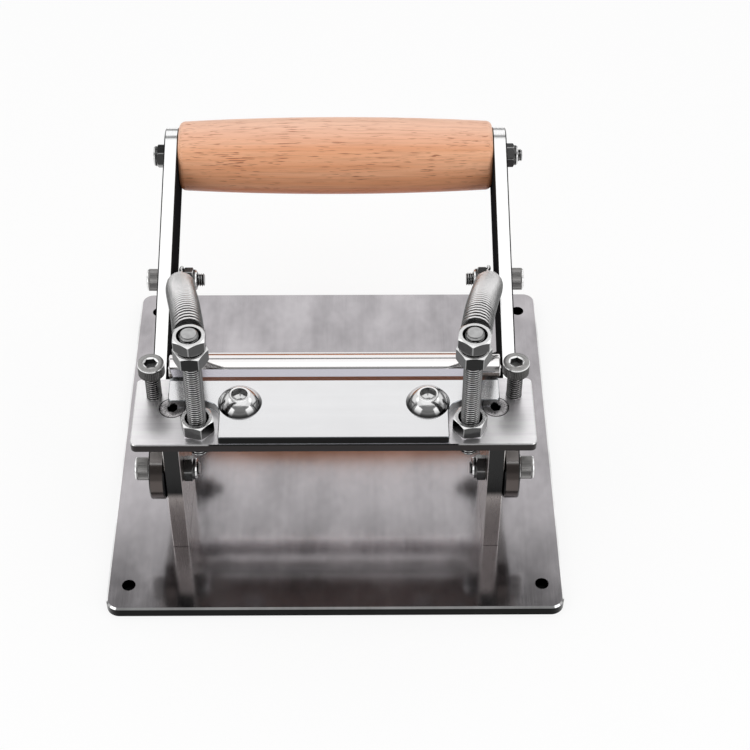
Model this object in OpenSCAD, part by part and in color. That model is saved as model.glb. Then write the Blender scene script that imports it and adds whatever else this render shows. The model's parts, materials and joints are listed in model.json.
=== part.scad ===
// Hand lever leather splitter for belts and straps.
// A blade is clamped to a raised table. A roller between two lever arms is drawn up to the blade by two
// tension springs, and pushing the wooden handle down opens the gap.
// Sizes are in millimetres. X runs left to right, Y front to back and Z up.
// The origin is the middle of the base plate's underside.

/* [Base plate] */
// Width of the base plate
base_w = 200; // [180:1:260]
// Depth of the base plate, front to back
base_d = 200; // [180:1:260]
// Thickness of the base plate
base_t = 5; // [4:0.5:10]
// Radius of the base plate's corners
base_corner_r = 6; // [3:0.5:9]
// Bevel round the base plate's top edge
base_bevel = 0.8; // [0.3:0.1:1.5]
// Diameter of the bench screw holes
bench_hole_d = 6; // [4:0.5:8]
// Distance of the bench holes from the side edges
bench_inset_x = 9.3; // [8:0.1:11]
// Distance of the bench holes from the front and back edges
bench_inset_y = 13.1; // [8:0.1:20]

/* [Uprights] */
// Clear width between the two uprights
upright_gap = 131.2; // [128:0.2:140]
// Thickness of an upright
upright_t = 7; // [6.6:0.2:8]
// Height of an upright, from the base plate to the table
upright_h = 66; // [64:0.5:80]
// Distance of the uprights' front edge ahead of the origin
upright_front = 65.3; // [55:0.1:70]
// Depth of an upright at the table
upright_top_d = 36.3; // [35:0.1:38]
// Depth of an upright at its foot
upright_foot_d = 41; // [39:0.5:50]

/* [Table] */
// Thickness of the table
table_t = 4; // [3:0.5:6]
// Width of the table outside each lever arm
table_side = 5.9; // [4:0.1:12]
// Depth of the table ahead of the uprights
table_front_lip = 2.5; // [0.5:0.1:8]
// Depth of the table behind the uprights
table_rear_lip = 0.3; // [0:0.1:1]
// Radius of the table's corners
table_corner_r = 2.5; // [1:0.5:4]
// Bevel round the table's top edge
table_bevel = 0.4; // [0.2:0.1:0.8]

/* [Clamp plate and blade] */
// Thickness of the clamp plate
clamp_t = 4; // [3.5:0.5:6]
// Width of the clamp plate's rear part
clamp_rear_w = 141.6; // [132:0.2:143]
// Distance of the clamp plate from the table's front edge
clamp_front_inset = 0.6; // [0:0.1:3]
// Distance of the clamp plate from the table's rear edge
clamp_rear_inset = 1.3; // [0:0.1:3]
// Radius of the clamp plate's outer corners
clamp_corner_r = 2; // [1:0.5:3]
// Radius of the hollow corners round the stud nuts
clamp_notch_r = 7.5; // [4:0.5:8]
// Depth of the slope along the clamp plate's rear edge
clamp_slope_d = 4; // [2:0.5:6]
// Drop of the slope along the clamp plate's rear edge
clamp_slope_h = 1.5; // [0.5:0.1:1.8]
// Distance between the two clamp screws
clamp_screw_gap = 80; // [60:1:84]
// Distance of the clamp screws behind the table's front edge
clamp_screw_y = 20.8; // [17:0.1:21.2]
// Length of the blade's cutting edge
blade_l = 129.5; // [110:0.5:131]
// Width of the blade, front to back
blade_w = 17; // [16:0.5:18]
// Thickness of the blade
blade_t = 1.5; // [1:0.1:2]
// Distance of the blade's middle to the left of the origin
blade_left = 6.7; // [5:0.1:7]
// Angle of the blade's ends
blade_end_angle = 19; // [0:1:30]
// Width of the ground bevel under the cutting edge
blade_bevel_w = 3; // [1.5:0.5:4]

/* [Roller] */
// Diameter of the roller
roller_d = 15; // [13:0.5:16]
// Gap between the blade's edge and the roller at rest
blade_gap = 2.6; // [1.6:0.1:3.4]
// Angle at which the roller lies below the blade's edge
roller_angle = 46; // [40:1:50]
// Gap between the roller's ends and the arms
roller_end_gap = 0.8; // [0.4:0.1:2]
// Diameter of the roller's journals
journal_d = 5; // [4:0.1:5.6]

/* [Lever] */
// Distance of the pivot behind the uprights' front edge
pivot_behind = 10.3; // [9:0.1:12]
// Height of the pivot above the base plate
pivot_h = 41; // [39.5:0.1:42]
// Angle of the arms above the base plate at rest
lean = 20; // [18:0.5:21]
// Distance from the pivot to the handle
arm_l = 158; // [140:1:175]
// Width of an arm
arm_w = 26.5; // [25:0.1:27.5]
// Thickness of an arm
arm_t = 6.4; // [5:0.1:8]
// Gap between an arm and its upright
arm_gap = 0.6; // [0.3:0.1:1]
// Distance from the pivot to the spring bolts
spring_bolt_l = 92.4; // [86:0.1:96]

/* [Handle] */
// Diameter of the handle in the middle
handle_mid_d = 36; // [33:0.5:38]
// Diameter of the handle at its ends
handle_end_d = 32; // [28:0.5:32.5]
// Rounding of the handle's end edges
handle_edge_r = 2.5; // [1:0.5:4]
// Length of the tie rod's thread outside the right nut
rod_end = 2; // [1:0.5:4]

/* [Studs and adjusting screws] */
// Distance of a stud from the middle
stud_x = 57.5; // [56:0.1:58]
// Distance of the studs behind the uprights' front edge
stud_behind = 7.3; // [7:0.1:8.5]
// Diameter of a stud
stud_d = 8; // [6:0.5:8]
// Length of a stud
stud_l = 70; // [64:1:76]
// Length of a stud below the table
stud_below = 10; // [4:0.5:12]
// Length of a stud above its top nut
stud_end = 1.2; // [0.5:0.1:3]
// Diameter of an adjusting screw's thread
adjust_d = 6.7; // [6:0.1:7]
// Diameter of an adjusting screw's head
adjust_head_d = 11.4; // [10:0.1:12]
// Length of an adjusting screw below its head
adjust_l = 21.5; // [18:0.5:26]
// Distance of the adjusting screws ahead of the table's rear edge
adjust_from_rear = 9.9; // [9:0.1:12]
// Distance of an adjusting screw outside the middle of its arm
adjust_outside = 0.9; // [0:0.1:1]

/* [Springs] */
// Outer diameter of a spring
spring_od = 13.2; // [12.4:0.1:13.4]
// Diameter of the spring wire
wire_d = 1.4; // [1.2:0.1:1.6]
// Curls in the body of one spring
curls = 34; // [20:1:35]
// Angle at which a spring falls away from its stud
spring_start_fall = 10; // [6:1:14]
// Angle at which a spring comes down to its bolt
spring_end_fall = 36; // [32:1:40]
// Gap between the corner of a stud nut and the first curl
first_curl_gap = 0.9; // [0.6:0.1:2]
// Height of the middle of the last curl above the edge of its arm
last_curl_above = 7.4; // [6.8:0.1:9]

/* [Fasteners] */
// Diameter of the pivot, spring and tie rod threads
m6_d = 6; // [5:0.1:6]
// Diameter of the round head of a pivot screw or spring bolt
cap_d = 10; // [8:0.1:10.5]
// Height of a round socket head
cap_h = 6; // [4:0.1:7]
// Width of a socket across its flats
cap_socket = 5; // [3:0.5:5.5]
// Width of a small lock nut across its flats
m6_af = 10; // [9:0.1:11]
// Height of a small lock nut
lock_nut_h = 6; // [5:0.1:6.5]
// Outer diameter of a pivot washer
washer_d = 12; // [11:0.5:14]
// Thickness of a pivot washer
washer_t = 1; // [0.5:0.1:1.6]
// Length of a pivot screw below its head
pivot_screw_l = 22; // [21:0.5:25]
// Length of a spring bolt below its head
spring_bolt_screw_l = 20; // [19.5:0.5:24]
// Gap in which a spring's end loop can slide along its bolt
loop_room = 4.3; // [3:0.1:5]
// Width of a stud nut across its flats
m8_af = 13; // [12:0.1:13.5]
// Height of a stud's lock nut and of the nut below its spring
m8_nut_h = 6.5; // [5:0.1:7]
// Height of the nut above a spring
top_nut_h = 5.4; // [4.5:0.1:6.5]
// Depth of the bevel round a stud nut's bore
nut_sink = 0.8; // [0.4:0.1:1]
// Diameter of a clamp screw's thread
button_thread_d = 10; // [8:0.5:10]
// Diameter of a clamp screw's head
button_d = 19.4; // [16:0.2:20]
// Height of a clamp screw's head
button_h = 6.8; // [5:0.1:7.5]
// Diameter of the flat on a clamp screw's head
button_flat_d = 9.2; // [8:0.1:10]
// Width of a clamp screw's socket across its flats
button_socket = 6; // [4:0.5:7]
// Diameter of a table screw's sunk head
table_screw_head_d = 11.4; // [9:0.1:12]
// Diameter of a table or base screw where it bites
sunk_thread_d = 5; // [4:0.1:5.4]
// Length of a table screw
table_screw_l = 16; // [12:1:20]
// Diameter of a base screw's sunk head
base_screw_head_d = 10; // [8:0.1:12]
// Length of a base screw
base_screw_l = 16; // [12:1:20]
// Distance of the base screws from the uprights' edges
base_screw_inset = 9; // [7:0.5:12]

/* [Fits] */
// Running clearance round a screw or journal
fit = 0.05; // [0.02:0.01:0.1]
// Gap between an adjusting screw and its arm at rest
rest_gap = 0.2; // [0.1:0.05:0.4]
// Gap between a spring's loop and the stud or bolt that it pulls on
loop_seat = 0.3; // [0.2:0.05:0.5]

/* [Hidden] */

STEEL = [0.74, 0.74, 0.76];
BRIGHT = [0.88, 0.88, 0.90];
DARK = [0.55, 0.55, 0.57];
WOOD = [0.86, 0.63, 0.46];

$fn = 64;
SIDES = [-1, 1];

// Heights of the base plate, table and clamp plate
base_top = base_t;
table_z = base_top + upright_h;
table_top = table_z + table_t;
clamp_top = table_top + clamp_t;

// Places of the uprights, front to back and side to side
upright_in = upright_gap / 2;
upright_mid = upright_in + upright_t / 2;
upright_out = upright_in + upright_t;
front_y = -upright_front;
pivot_y = front_y + pivot_behind;
pivot_z = base_top + pivot_h;

// Places of the arms, side to side
arm_in = upright_out + arm_gap;
arm_mid = arm_in + arm_t / 2;
arm_out = arm_in + arm_t;

// The table's outline
table_w = 2 * (arm_out + table_side);
table_front = front_y - table_front_lip;
table_rear = front_y + upright_top_d + table_rear_lip;
table_screw_y = (table_front + table_rear) / 2 + 2;

// Studs and their nuts
stud_y = front_y + stud_behind;
m8_corner_r = m8_af / 2 / cos(30);
stud_bottom = table_z - stud_below;
stud_top = stud_bottom + stud_l;
top_nut_z = stud_top - stud_end - top_nut_h;
loop_slack = 0.1;
nut_slack = 0.4;
LOCK_NUT_TURNS = [-14, 6];
LOWER_NUT_TURNS = [0, 0];
UPPER_NUT_TURNS = [30, 21];
HANDLE_NUT_TURNS = [20, 12];
SPRING_NUT_TURNS = [10, 25];
loop_z = top_nut_z - nut_slack - wire_d / 2;
low_nut_z = loop_z - wire_d / 2 - nut_slack - m8_nut_h;

// The clamp plate's outline, drawn back from the stud nuts
nut_side_gap = 1.5;
nut_back_gap = 4.7;
clamp_front_w = 2 * (stud_x - m8_corner_r - nut_side_gap);
clamp_front = table_front + clamp_front_inset;
clamp_rear = table_rear - clamp_rear_inset;
clamp_ear_front = stud_y + m8_corner_r + nut_back_gap;
clamp_screw_line = table_front + clamp_screw_y;
screw_blade_gap = 0.4;
blade_front = clamp_screw_line + button_thread_d / 2 + screw_blade_gap;
blade_edge_y = blade_front + blade_w;
blade_top = table_top + blade_t;
blade_edge_land = 0.15;

// The roller's axis lies below and behind the blade's edge
roller_reach = roller_d / 2 + blade_gap;
roller_y = blade_edge_y + roller_reach * cos(roller_angle);
roller_z = blade_top + -roller_reach * sin(roller_angle);
roller_half = arm_in - roller_end_gap;

// Distances along and above an arm's middle line
roller_along = (roller_y - pivot_y) * cos(lean) + (roller_z - pivot_z) * sin(lean);
roller_above = (roller_z - pivot_z) * cos(lean) - (roller_y - pivot_y) * sin(lean);
handle_y = pivot_y + arm_l * cos(lean);
handle_z = pivot_z + arm_l * sin(lean);
bolt_y = pivot_y + spring_bolt_l * cos(lean);
bolt_z = pivot_z + spring_bolt_l * sin(lean);

// Adjusting screws rest on the arms' upper edges
adjust_x = arm_mid + adjust_outside;
adjust_y = table_rear - adjust_from_rear;
tip_bevel = 0.5;
tip_reach = adjust_d / 2 - tip_bevel;
tip_z = pivot_z + (adjust_y + tip_reach - pivot_y) * tan(lean) + arm_w / 2 / cos(lean) + rest_gap;

// Spring loops sit on the studs and against the nuts of the spring bolts
coil_r = (spring_od - wire_d) / 2;
bolt_nut_face = arm_in - loop_room;
loop_x = bolt_nut_face + loop_slack + wire_d / 2;
WIRE_SIDES = 6;
CURL_RINGS = 8;

// Gives a vector of length one
function unit(v) = v / norm(v);

// Gives a point on a cubic curve with four handles
function bezier(p, t) = pow(1 - t, 3) * p[0] + 3 * t * pow(1 - t, 2) * p[1]
    + 3 * t * t * (1 - t) * p[2] + t * t * t * p[3];

// Gives the direction of that curve
function bezier_dir(p, t) = unit(pow(1 - t, 2) * (p[1] - p[0]) + 2 * t * (1 - t) * (p[2] - p[1])
    + t * t * (p[3] - p[2]));

// Each loop bears on the far side of its stud or bolt
loop_in_r = coil_r - wire_d / 2;
hook_dir = [0, cos(spring_end_fall), -sin(spring_end_fall)];
bolt_shift = loop_in_r - m6_d / 2 - loop_seat;
stud_loop = [stud_x, stud_y + loop_in_r - stud_d / 2 - loop_seat, loop_z];
bolt_loop = [loop_x, bolt_y, bolt_z] - bolt_shift * hook_dir;

// The body's axis starts behind the stud nuts and ends above the arm's edge
drift = (loop_x - stud_x) / (bolt_y - stud_y);
start_dir = unit([drift, cos(spring_start_fall), -sin(spring_start_fall)]);
end_dir = unit([drift / 2, 0, 0] + hook_dir);
start_reach = m8_corner_r + first_curl_gap + wire_d / 2;
hook_reach = (arm_w / 2 + last_curl_above) / sin(spring_end_fall + lean);
body_start = [stud_x, stud_y, loop_z] + start_reach * unit([drift, 1, 0]);
body_end = [loop_x, bolt_y, bolt_z] - hook_reach * end_dir;
bend_share = 0.35;
bend_reach = bend_share * norm(body_end - body_start);
AXIS = [body_start, body_start + bend_reach * start_dir, body_end - bend_reach * end_dir, body_end];

// The winding starts on the outer side and ends a quarter turn later, on top
turns = curls + 0.25;

// Gives a point of the winding after a number of curls
function winding(turn) = let (t = turn / turns, dir = bezier_dir(AXIS, t),
    side = unit(cross([0, 0, 1], dir)), over = cross(dir, side), a = 360 * turn)
    bezier(AXIS, t) + coil_r * (over * sin(a) - side * cos(a));

// Gives a point of the loop round the stud, from the right side past the front
function front_loop(a) = stud_loop + coil_r * [cos(a), -sin(a), 0];

// Gives a point of the loop round the bolt, from the top past the rear
hook_up = cross([1, 0, 0], hook_dir);
function rear_loop(a) = bolt_loop + coil_r * (cos(a) * hook_up + sin(a) * hook_dir);

loop_end = 285;
loop_step = 28.5;
FRONT_STEPS = 3;
REAR_STEPS = 8;
curl_step = 1 / CURL_RINGS;
first_turn = winding(0);
last_turn = winding(turns);
first_dir = unit(winding(curl_step) - first_turn);
last_dir = unit(last_turn - winding(turns - curl_step));

// The wire runs level from the front loop past the corner of the nuts, and then bends into the first curl
nose = 1.8;
nut_corner_y = stud_y + sqrt(pow(m8_corner_r, 2) - pow(loop_in_r, 2));
run_end = front_loop(0) + [0, nut_corner_y - stud_loop[1], 0];
front_bridge = [run_end, run_end + [0, nose, 0], first_turn - nose * first_dir, first_turn];

// From the last curl it leans over into the long hook that comes down to the bolt
hook_nose = 0.7 * hook_reach;
rear_bridge = [last_turn, last_turn + nose * last_dir, rear_loop(0) - hook_nose * hook_dir, rear_loop(0)];
front_tail = front_loop(loop_end) + wire_d * unit(front_loop(loop_end) - front_loop(loop_end - 1));
rear_tail = rear_loop(loop_end) + wire_d * unit(rear_loop(loop_end) - rear_loop(loop_end - 1));
WIRE = concat(
    [front_tail],
    [for (a = [loop_end:-loop_step:0]) front_loop(a)],
    [for (i = [0:FRONT_STEPS - 1]) bezier(front_bridge, i / FRONT_STEPS)],
    [for (i = [0:turns * CURL_RINGS]) winding(i * curl_step)],
    [for (i = [1:REAR_STEPS - 1]) bezier(rear_bridge, i / REAR_STEPS)],
    [for (a = [0:loop_step:loop_end]) rear_loop(a)],
    [rear_tail]);

// Gives the direction of a path at one of its points
function path_dir(p, i) = unit(p[min(i + 1, len(p) - 1)] - p[max(i - 1, 0)]);

// Carries a sideways vector along a path without twisting it
function path_sides(p) = [for (i = 0, s = unit(cross(path_dir(p, 0), [0.3, 0.2, 1])); i < len(p);
    i = i + 1, s = i < len(p) ? unit(s - (s * path_dir(p, i)) * path_dir(p, i)) : s) s];

// Gives the least gap between stretches of wire that lie over half a curl apart
function least_gap(p, d) = min([for (i = [0:len(p) - 1]) for (j = [i + CURL_RINGS / 2:1:len(p) - 1])
    norm(p[i] - p[j])]) - d;

// Sweeps a round wire along a path as one closed tube
module wire_tube(path, d) {
    sides = path_sides(path);
    n = len(path);
    points = [for (i = [0:n - 1]) let (over = cross(path_dir(path, i), sides[i]))
        for (k = [0:WIRE_SIDES - 1]) let (a = 360 * k / WIRE_SIDES)
            path[i] + d / 2 * (cos(a) * sides[i] + sin(a) * over)];
    walls = [for (i = [0:n - 2]) for (k = [0:WIRE_SIDES - 1])
        let (next = (k + 1) % WIRE_SIDES, a = i * WIRE_SIDES + k, b = i * WIRE_SIDES + next)
        each [[a, a + WIRE_SIDES, b + WIRE_SIDES], [a, b + WIRE_SIDES, b]]];
    start_cap = [for (k = [1:WIRE_SIDES - 2]) [0, k, k + 1]];
    last = (n - 1) * WIRE_SIDES;
    end_cap = [for (k = [1:WIRE_SIDES - 2]) [last, last + k + 1, last + k]];
    polyhedron(points, concat(walls, start_cap, end_cap));
}

// Draws a rectangle with round corners about its middle
module round_outline(w, d, r) {
    square([w - 2 * r, d], center = true);
    square([w, d - 2 * r], center = true);
    for (x = SIDES, y = SIDES) translate([x * (w / 2 - r), y * (d / 2 - r)]) circle(r);
}

// Gives half the outline of a bevelled edge run, to be mirrored by its plate
function edge_outline(half, t, b) = [[-half, 0], [half, 0], [half, t - b], [half - b, t],
    [b - half, t], [-half, t - b]];

// Draws a plate with round corners and a bevel round its top
module bevelled_plate(w, d, t, r, b) {
    for (x = SIDES, y = SIDES) translate([x * (w / 2 - r), y * (d / 2 - r), 0]) {
        cylinder(r = r, h = t - b);
        translate([0, 0, t - b]) cylinder(r1 = r, r2 = r - b, h = b);
    }
    rotate([90, 0, 90]) linear_extrude(w - 2 * r, center = true) polygon(edge_outline(d / 2, t, b));
    rotate([90, 0, 0]) linear_extrude(d - 2 * r, center = true) polygon(edge_outline(w / 2, t, b));
}

// Draws a rod along +Z with bevelled ends
module rod(d, l, b) {
    rotate_extrude() polygon([[0, 0], [d / 2 - b, 0], [d / 2, b], [d / 2, l - b], [d / 2 - b, l], [0, l]]);
}

// Draws a hexagonal socket to be cut, with its mouth at the origin
module socket_cut(af, depth) {
    translate([0, 0, -depth]) cylinder(d = af / cos(30), h = depth + 1, $fn = 6);
}

// Draws a round socket head screw, with its head above the XY plane and its shank below
module cap_screw(d, head_d, l) {
    edge = 0.6;
    difference() {
        union() {
            rotate_extrude() polygon([[0, 0], [head_d / 2, 0], [head_d / 2, cap_h - edge],
                [head_d / 2 - edge, cap_h], [0, cap_h]]);
            translate([0, 0, -l]) rod(d, l + 1, tip_bevel);
        }
        translate([0, 0, cap_h]) socket_cut(cap_socket, cap_h / 2);
    }
}

// Draws a sunk head screw, with the head's flat top on the XY plane
module sunk_screw(head_d, d, l, socket) {
    rim = 0.4;
    cone = (head_d - d) / 2;
    difference() {
        rotate_extrude() polygon([[0, -l], [d / 2 - tip_bevel, -l], [d / 2, tip_bevel - l],
            [d / 2, -rim - cone], [head_d / 2, -rim], [head_d / 2, 0], [0, 0]]);
        socket_cut(socket, cone);
    }
}

// Draws the hole for a sunk head screw, open above the XY plane
module sunk_hole(head_d, d, l) {
    rim = 0.4;
    cone = (head_d - d) / 2;
    rotate_extrude() polygon([[0, -l - fit], [d / 2 + fit, -l - fit], [d / 2 + fit, -rim - cone],
        [head_d / 2 + fit, -rim], [head_d / 2 + fit, 1], [0, 1]]);
}

// Draws a domed socket head screw with a flat on top, with its head above the XY plane
module button_screw(l) {
    dome_z = (pow(button_h, 2) + pow(button_flat_d / 2, 2) - pow(button_d / 2, 2)) / (2 * button_h);
    dome_r = norm([button_d / 2, dome_z]);
    difference() {
        union() {
            intersection() {
                translate([0, 0, dome_z]) sphere(dome_r);
                cylinder(d = button_d + 1, h = button_h);
            }
            translate([0, 0, -l]) rod(button_thread_d, l + 1, tip_bevel);
        }
        translate([0, 0, button_h]) socket_cut(button_socket, button_h * 0.6);
    }
}

// Draws a hexagonal nut on the XY plane, with a bevel round each mouth of its bore
module nut(af, h, bore, sink) {
    corner = af / 2 / cos(30);
    bevel = (corner - af / 2) * 0.9;
    difference() {
        intersection() {
            cylinder(r = corner, h = h, $fn = 6);
            rotate_extrude() polygon([[0, 0], [corner - bevel, 0], [corner, bevel * 0.6],
                [corner, h - bevel * 0.6], [corner - bevel, h], [0, h]]);
        }
        translate([0, 0, -1]) cylinder(d = bore, h = h + 2);
        cylinder(r1 = bore / 2 + sink, r2 = bore / 2, h = sink);
        translate([0, 0, h - sink]) cylinder(r1 = bore / 2, r2 = bore / 2 + sink, h = sink);
    }
}

// Draws a lock nut on the XY plane, with its round collar on top
module lock_nut(af, h, bore) {
    hex_h = h * 0.7;
    collar_r = af / 2 - 0.3;
    collar_edge = 0.8;
    mouth = 0.4;
    nut(af, hex_h, bore, mouth);
    rotate_extrude() polygon([[bore / 2, hex_h - 0.5], [collar_r, hex_h - 0.5],
        [collar_r, h - collar_edge], [collar_r - collar_edge, h], [bore / 2, h]]);
}

// Puts what is drawn along +Z onto the X axis, pointing outward on one side
module outward(side, x, y, z) {
    translate([side * x, y, z]) rotate([0, side * 90, 0]) children();
}

// Puts what is drawn along +Z onto the X axis, pointing inward on one side
module inward(side, x, y, z) {
    translate([side * x, y, z]) rotate([0, -side * 90, 0]) children();
}

// Base plate with four bench holes and sunk holes for the uprights' screws
module base_plate() {
    color(STEEL) difference() {
        bevelled_plate(base_w, base_d, base_t, base_corner_r, base_bevel);
        for (x = SIDES, y = SIDES)
            translate([x * (base_w / 2 - bench_inset_x), y * (base_d / 2 - bench_inset_y), -1])
                cylinder(d = bench_hole_d, h = base_t + 2);
        base_screw_places() sunk_hole(base_screw_head_d, sunk_thread_d, base_screw_l);
    }
}

// Turns a sunk screw head down at each of the four base screws
module base_screw_places() {
    for (x = SIDES, y = [front_y + base_screw_inset, front_y + upright_foot_d - base_screw_inset])
        translate([x * upright_mid, y, 0]) rotate([180, 0, 0]) children();
}

// Four sunk screws that hold the uprights from below
module base_screws() {
    color(DARK) base_screw_places() sunk_screw(base_screw_head_d, sunk_thread_d, base_screw_l, 3);
}

// Puts a sunk screw on the table over each upright
module table_screw_places() {
    for (x = SIDES) translate([x * upright_mid, table_screw_y, table_top]) children();
}

// Two sunk screws that hold the table
module table_screws() {
    color(BRIGHT) table_screw_places() sunk_screw(table_screw_head_d, sunk_thread_d, table_screw_l, 4);
}

// One upright, straight in front and sloped behind, with its pivot bore and screw holes
module upright(side) {
    color(STEEL) difference() {
        translate([side * upright_mid, front_y, base_top]) rotate([90, 0, 90])
            linear_extrude(upright_t, center = true)
                polygon([[0, 0], [upright_foot_d, 0], [upright_top_d, upright_h], [0, upright_h]]);
        outward(side, upright_in - 1, pivot_y, pivot_z) cylinder(d = m6_d + 2 * fit, h = upright_t + 2);
        base_screw_places() sunk_hole(base_screw_head_d, sunk_thread_d, base_screw_l);
        table_screw_places() sunk_hole(table_screw_head_d, sunk_thread_d, table_screw_l);
    }
}

// Raised table with holes for the studs and all the screws
module table_plate() {
    color(STEEL) difference() {
        translate([0, (table_front + table_rear) / 2, table_z])
            bevelled_plate(table_w, table_rear - table_front, table_t, table_corner_r, table_bevel);
        table_screw_places() sunk_hole(table_screw_head_d, sunk_thread_d, table_screw_l);
        for (x = SIDES) {
            translate([x * stud_x, stud_y, table_z - 1]) cylinder(d = stud_d + 2 * fit, h = table_t + 2);
            translate([x * adjust_x, adjust_y, table_z - 1])
                cylinder(d = adjust_d + 2 * fit, h = table_t + 2);
            translate([x * clamp_screw_gap / 2, clamp_screw_line, table_z - 1])
                cylinder(d = button_thread_d + 2 * fit, h = table_t + 2);
        }
    }
}

// Blade with slanted ends and a ground bevel under its rear edge
module blade() {
    slant = blade_w * tan(blade_end_angle);
    half = blade_l / 2;
    color(BRIGHT) difference() {
        translate([-blade_left, blade_front, table_top]) linear_extrude(blade_t)
            polygon([[-half, blade_w], [half, blade_w], [half - slant, 0], [slant - half, 0]]);
        translate([-blade_left, blade_edge_y, table_top]) rotate([90, 0, 90])
            linear_extrude(blade_l + 2, center = true)
                polygon([[-blade_bevel_w, -0.01], [1, -0.01], [1, blade_t - blade_edge_land],
                    [0, blade_t - blade_edge_land], [-blade_bevel_w, 0]]);
    }
}

// Fills the hollow corner between the clamp plate's narrow and wide parts, less a round notch
module notch_fill(side) {
    translate([side * clamp_front_w / 2, clamp_ear_front]) difference() {
        translate([side > 0 ? -1 : -clamp_notch_r, -clamp_notch_r])
            square([clamp_notch_r + 1, clamp_notch_r + 1]);
        translate([side * clamp_notch_r, -clamp_notch_r]) circle(clamp_notch_r);
    }
}

// Clamp plate with a narrow front, two ears behind, a sloped rear edge and a rebate for the blade
module clamp_plate() {
    depth = clamp_rear - clamp_front;
    ear_d = clamp_rear - clamp_ear_front;
    color(BRIGHT) difference() {
        translate([0, 0, table_top]) linear_extrude(clamp_t) {
            translate([0, clamp_front + depth / 2]) round_outline(clamp_front_w, depth, clamp_corner_r / 2);
            translate([0, clamp_ear_front + ear_d / 2]) round_outline(clamp_rear_w, ear_d, clamp_corner_r);
            for (side = SIDES) notch_fill(side);
        }
        translate([0, clamp_rear, clamp_top]) rotate([90, 0, 90])
            linear_extrude(clamp_rear_w + 2, center = true)
                polygon([[-clamp_slope_d, 0], [1, -clamp_slope_h * (1 + 1 / clamp_slope_d)], [1, 1],
                    [-clamp_slope_d, 1]]);
        translate([-clamp_rear_w / 2 - 1, blade_front - fit, table_top - 1])
            cube([clamp_rear_w + 2, clamp_rear - blade_front + 2, blade_t + 1]);
        for (x = SIDES) translate([x * clamp_screw_gap / 2, clamp_screw_line, table_top - 1])
            cylinder(d = button_thread_d + 2 * fit, h = clamp_t + 2);
    }
}

// Two domed screws that press the clamp plate and blade down
module clamp_screws() {
    below = 2;
    color(BRIGHT) for (x = SIDES) translate([x * clamp_screw_gap / 2, clamp_screw_line, clamp_top])
        button_screw(clamp_t + table_t + below);
}

// One threaded stud that carries a spring
module stud(side) {
    color(STEEL) translate([side * stud_x, stud_y, stud_bottom]) rod(stud_d, stud_l, 0.7);
}

// A pair of stud nuts at one height, each turned by its own angle
module stud_nuts(z, h, turns) {
    color(STEEL) for (i = [0, 1]) translate([SIDES[i] * stud_x, stud_y, z]) rotate(turns[i])
        nut(m8_af, h, stud_d + 2 * fit, nut_sink);
}

// One adjusting screw, whose tip stops an arm
module adjusting_screw(side) {
    color(DARK) translate([side * adjust_x, adjust_y, tip_z + adjust_l])
        cap_screw(adjust_d, adjust_head_d, adjust_l);
}

// Two pivot screws, with their heads outside the washers
module pivot_screws() {
    color(STEEL) for (side = SIDES) outward(side, arm_out + washer_t, pivot_y, pivot_z)
        cap_screw(m6_d, cap_d, pivot_screw_l);
}

// Two washers between the arms and the heads of the pivot screws
module pivot_washers() {
    color(STEEL) for (side = SIDES) outward(side, arm_out, pivot_y, pivot_z) difference() {
        cylinder(d = washer_d, h = washer_t);
        translate([0, 0, -1]) cylinder(d = m6_d + 2 * fit, h = washer_t + 2);
    }
}

// Two lock nuts that hold the pivot screws to the uprights
module pivot_nuts() {
    color(DARK) for (side = SIDES) inward(side, upright_in, pivot_y, pivot_z)
        lock_nut(m6_af, lock_nut_h, m6_d + 2 * fit);
}

// One flat lever arm with round ends and four bores
module arm(side) {
    color(BRIGHT) translate([side * arm_mid, pivot_y, pivot_z]) rotate([lean, 0, 0]) rotate([90, 0, 90])
        difference() {
            linear_extrude(arm_t, center = true) {
                translate([0, -arm_w / 2]) square([arm_l, arm_w]);
                circle(d = arm_w);
                translate([arm_l, 0]) circle(d = arm_w);
            }
            for (along = [0, spring_bolt_l, arm_l]) translate([along, 0, -arm_t])
                cylinder(d = m6_d + 2 * fit, h = 2 * arm_t);
            translate([roller_along, roller_above, -arm_t]) cylinder(d = journal_d + 2 * fit, h = 2 * arm_t);
        }
}

// Gives the handle's radius at a distance from its middle
function handle_r(x) = let (from_edge = max(0, x - (arm_in - handle_edge_r)))
    (handle_mid_d - (handle_mid_d - handle_end_d) * pow(x / arm_in, 2)) / 2
    - handle_edge_r + sqrt(pow(handle_edge_r, 2) - pow(min(from_edge, handle_edge_r), 2));

// Wooden barrel handle between the arms, bored for the tie rod
module handle_grip() {
    body = [for (i = [0:10]) (arm_in - handle_edge_r) * i / 10];
    edge = [for (a = [22.5:22.5:90]) arm_in - handle_edge_r * (1 - sin(a))];
    xs = concat(body, edge);
    outline = concat([for (i = [len(xs) - 1:-1:1]) [handle_r(xs[i]), -xs[i]]],
        [for (x = xs) [handle_r(x), x]]);
    color(WOOD) translate([0, handle_y, handle_z]) rotate([0, 90, 0]) difference() {
        rotate_extrude($fn = 96) polygon(concat([[0, -arm_in]], outline, [[0, arm_in]]));
        cylinder(d = m6_d + 2 * fit, h = 3 * arm_in, center = true);
    }
}

// Threaded rod through the arms and the handle
module handle_tie_rod() {
    left = arm_out + lock_nut_h - tip_bevel;
    color(STEEL) translate([-left, handle_y, handle_z]) rotate([0, 90, 0])
        rod(m6_d, left + arm_out + lock_nut_h + rod_end, tip_bevel);
}

// Two lock nuts on the tie rod, each turned by its own angle
module handle_nuts() {
    color(STEEL) for (i = [0, 1]) outward(SIDES[i], arm_out, handle_y, handle_z)
        rotate(HANDLE_NUT_TURNS[i]) lock_nut(m6_af, lock_nut_h, m6_d + 2 * fit);
}

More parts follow.
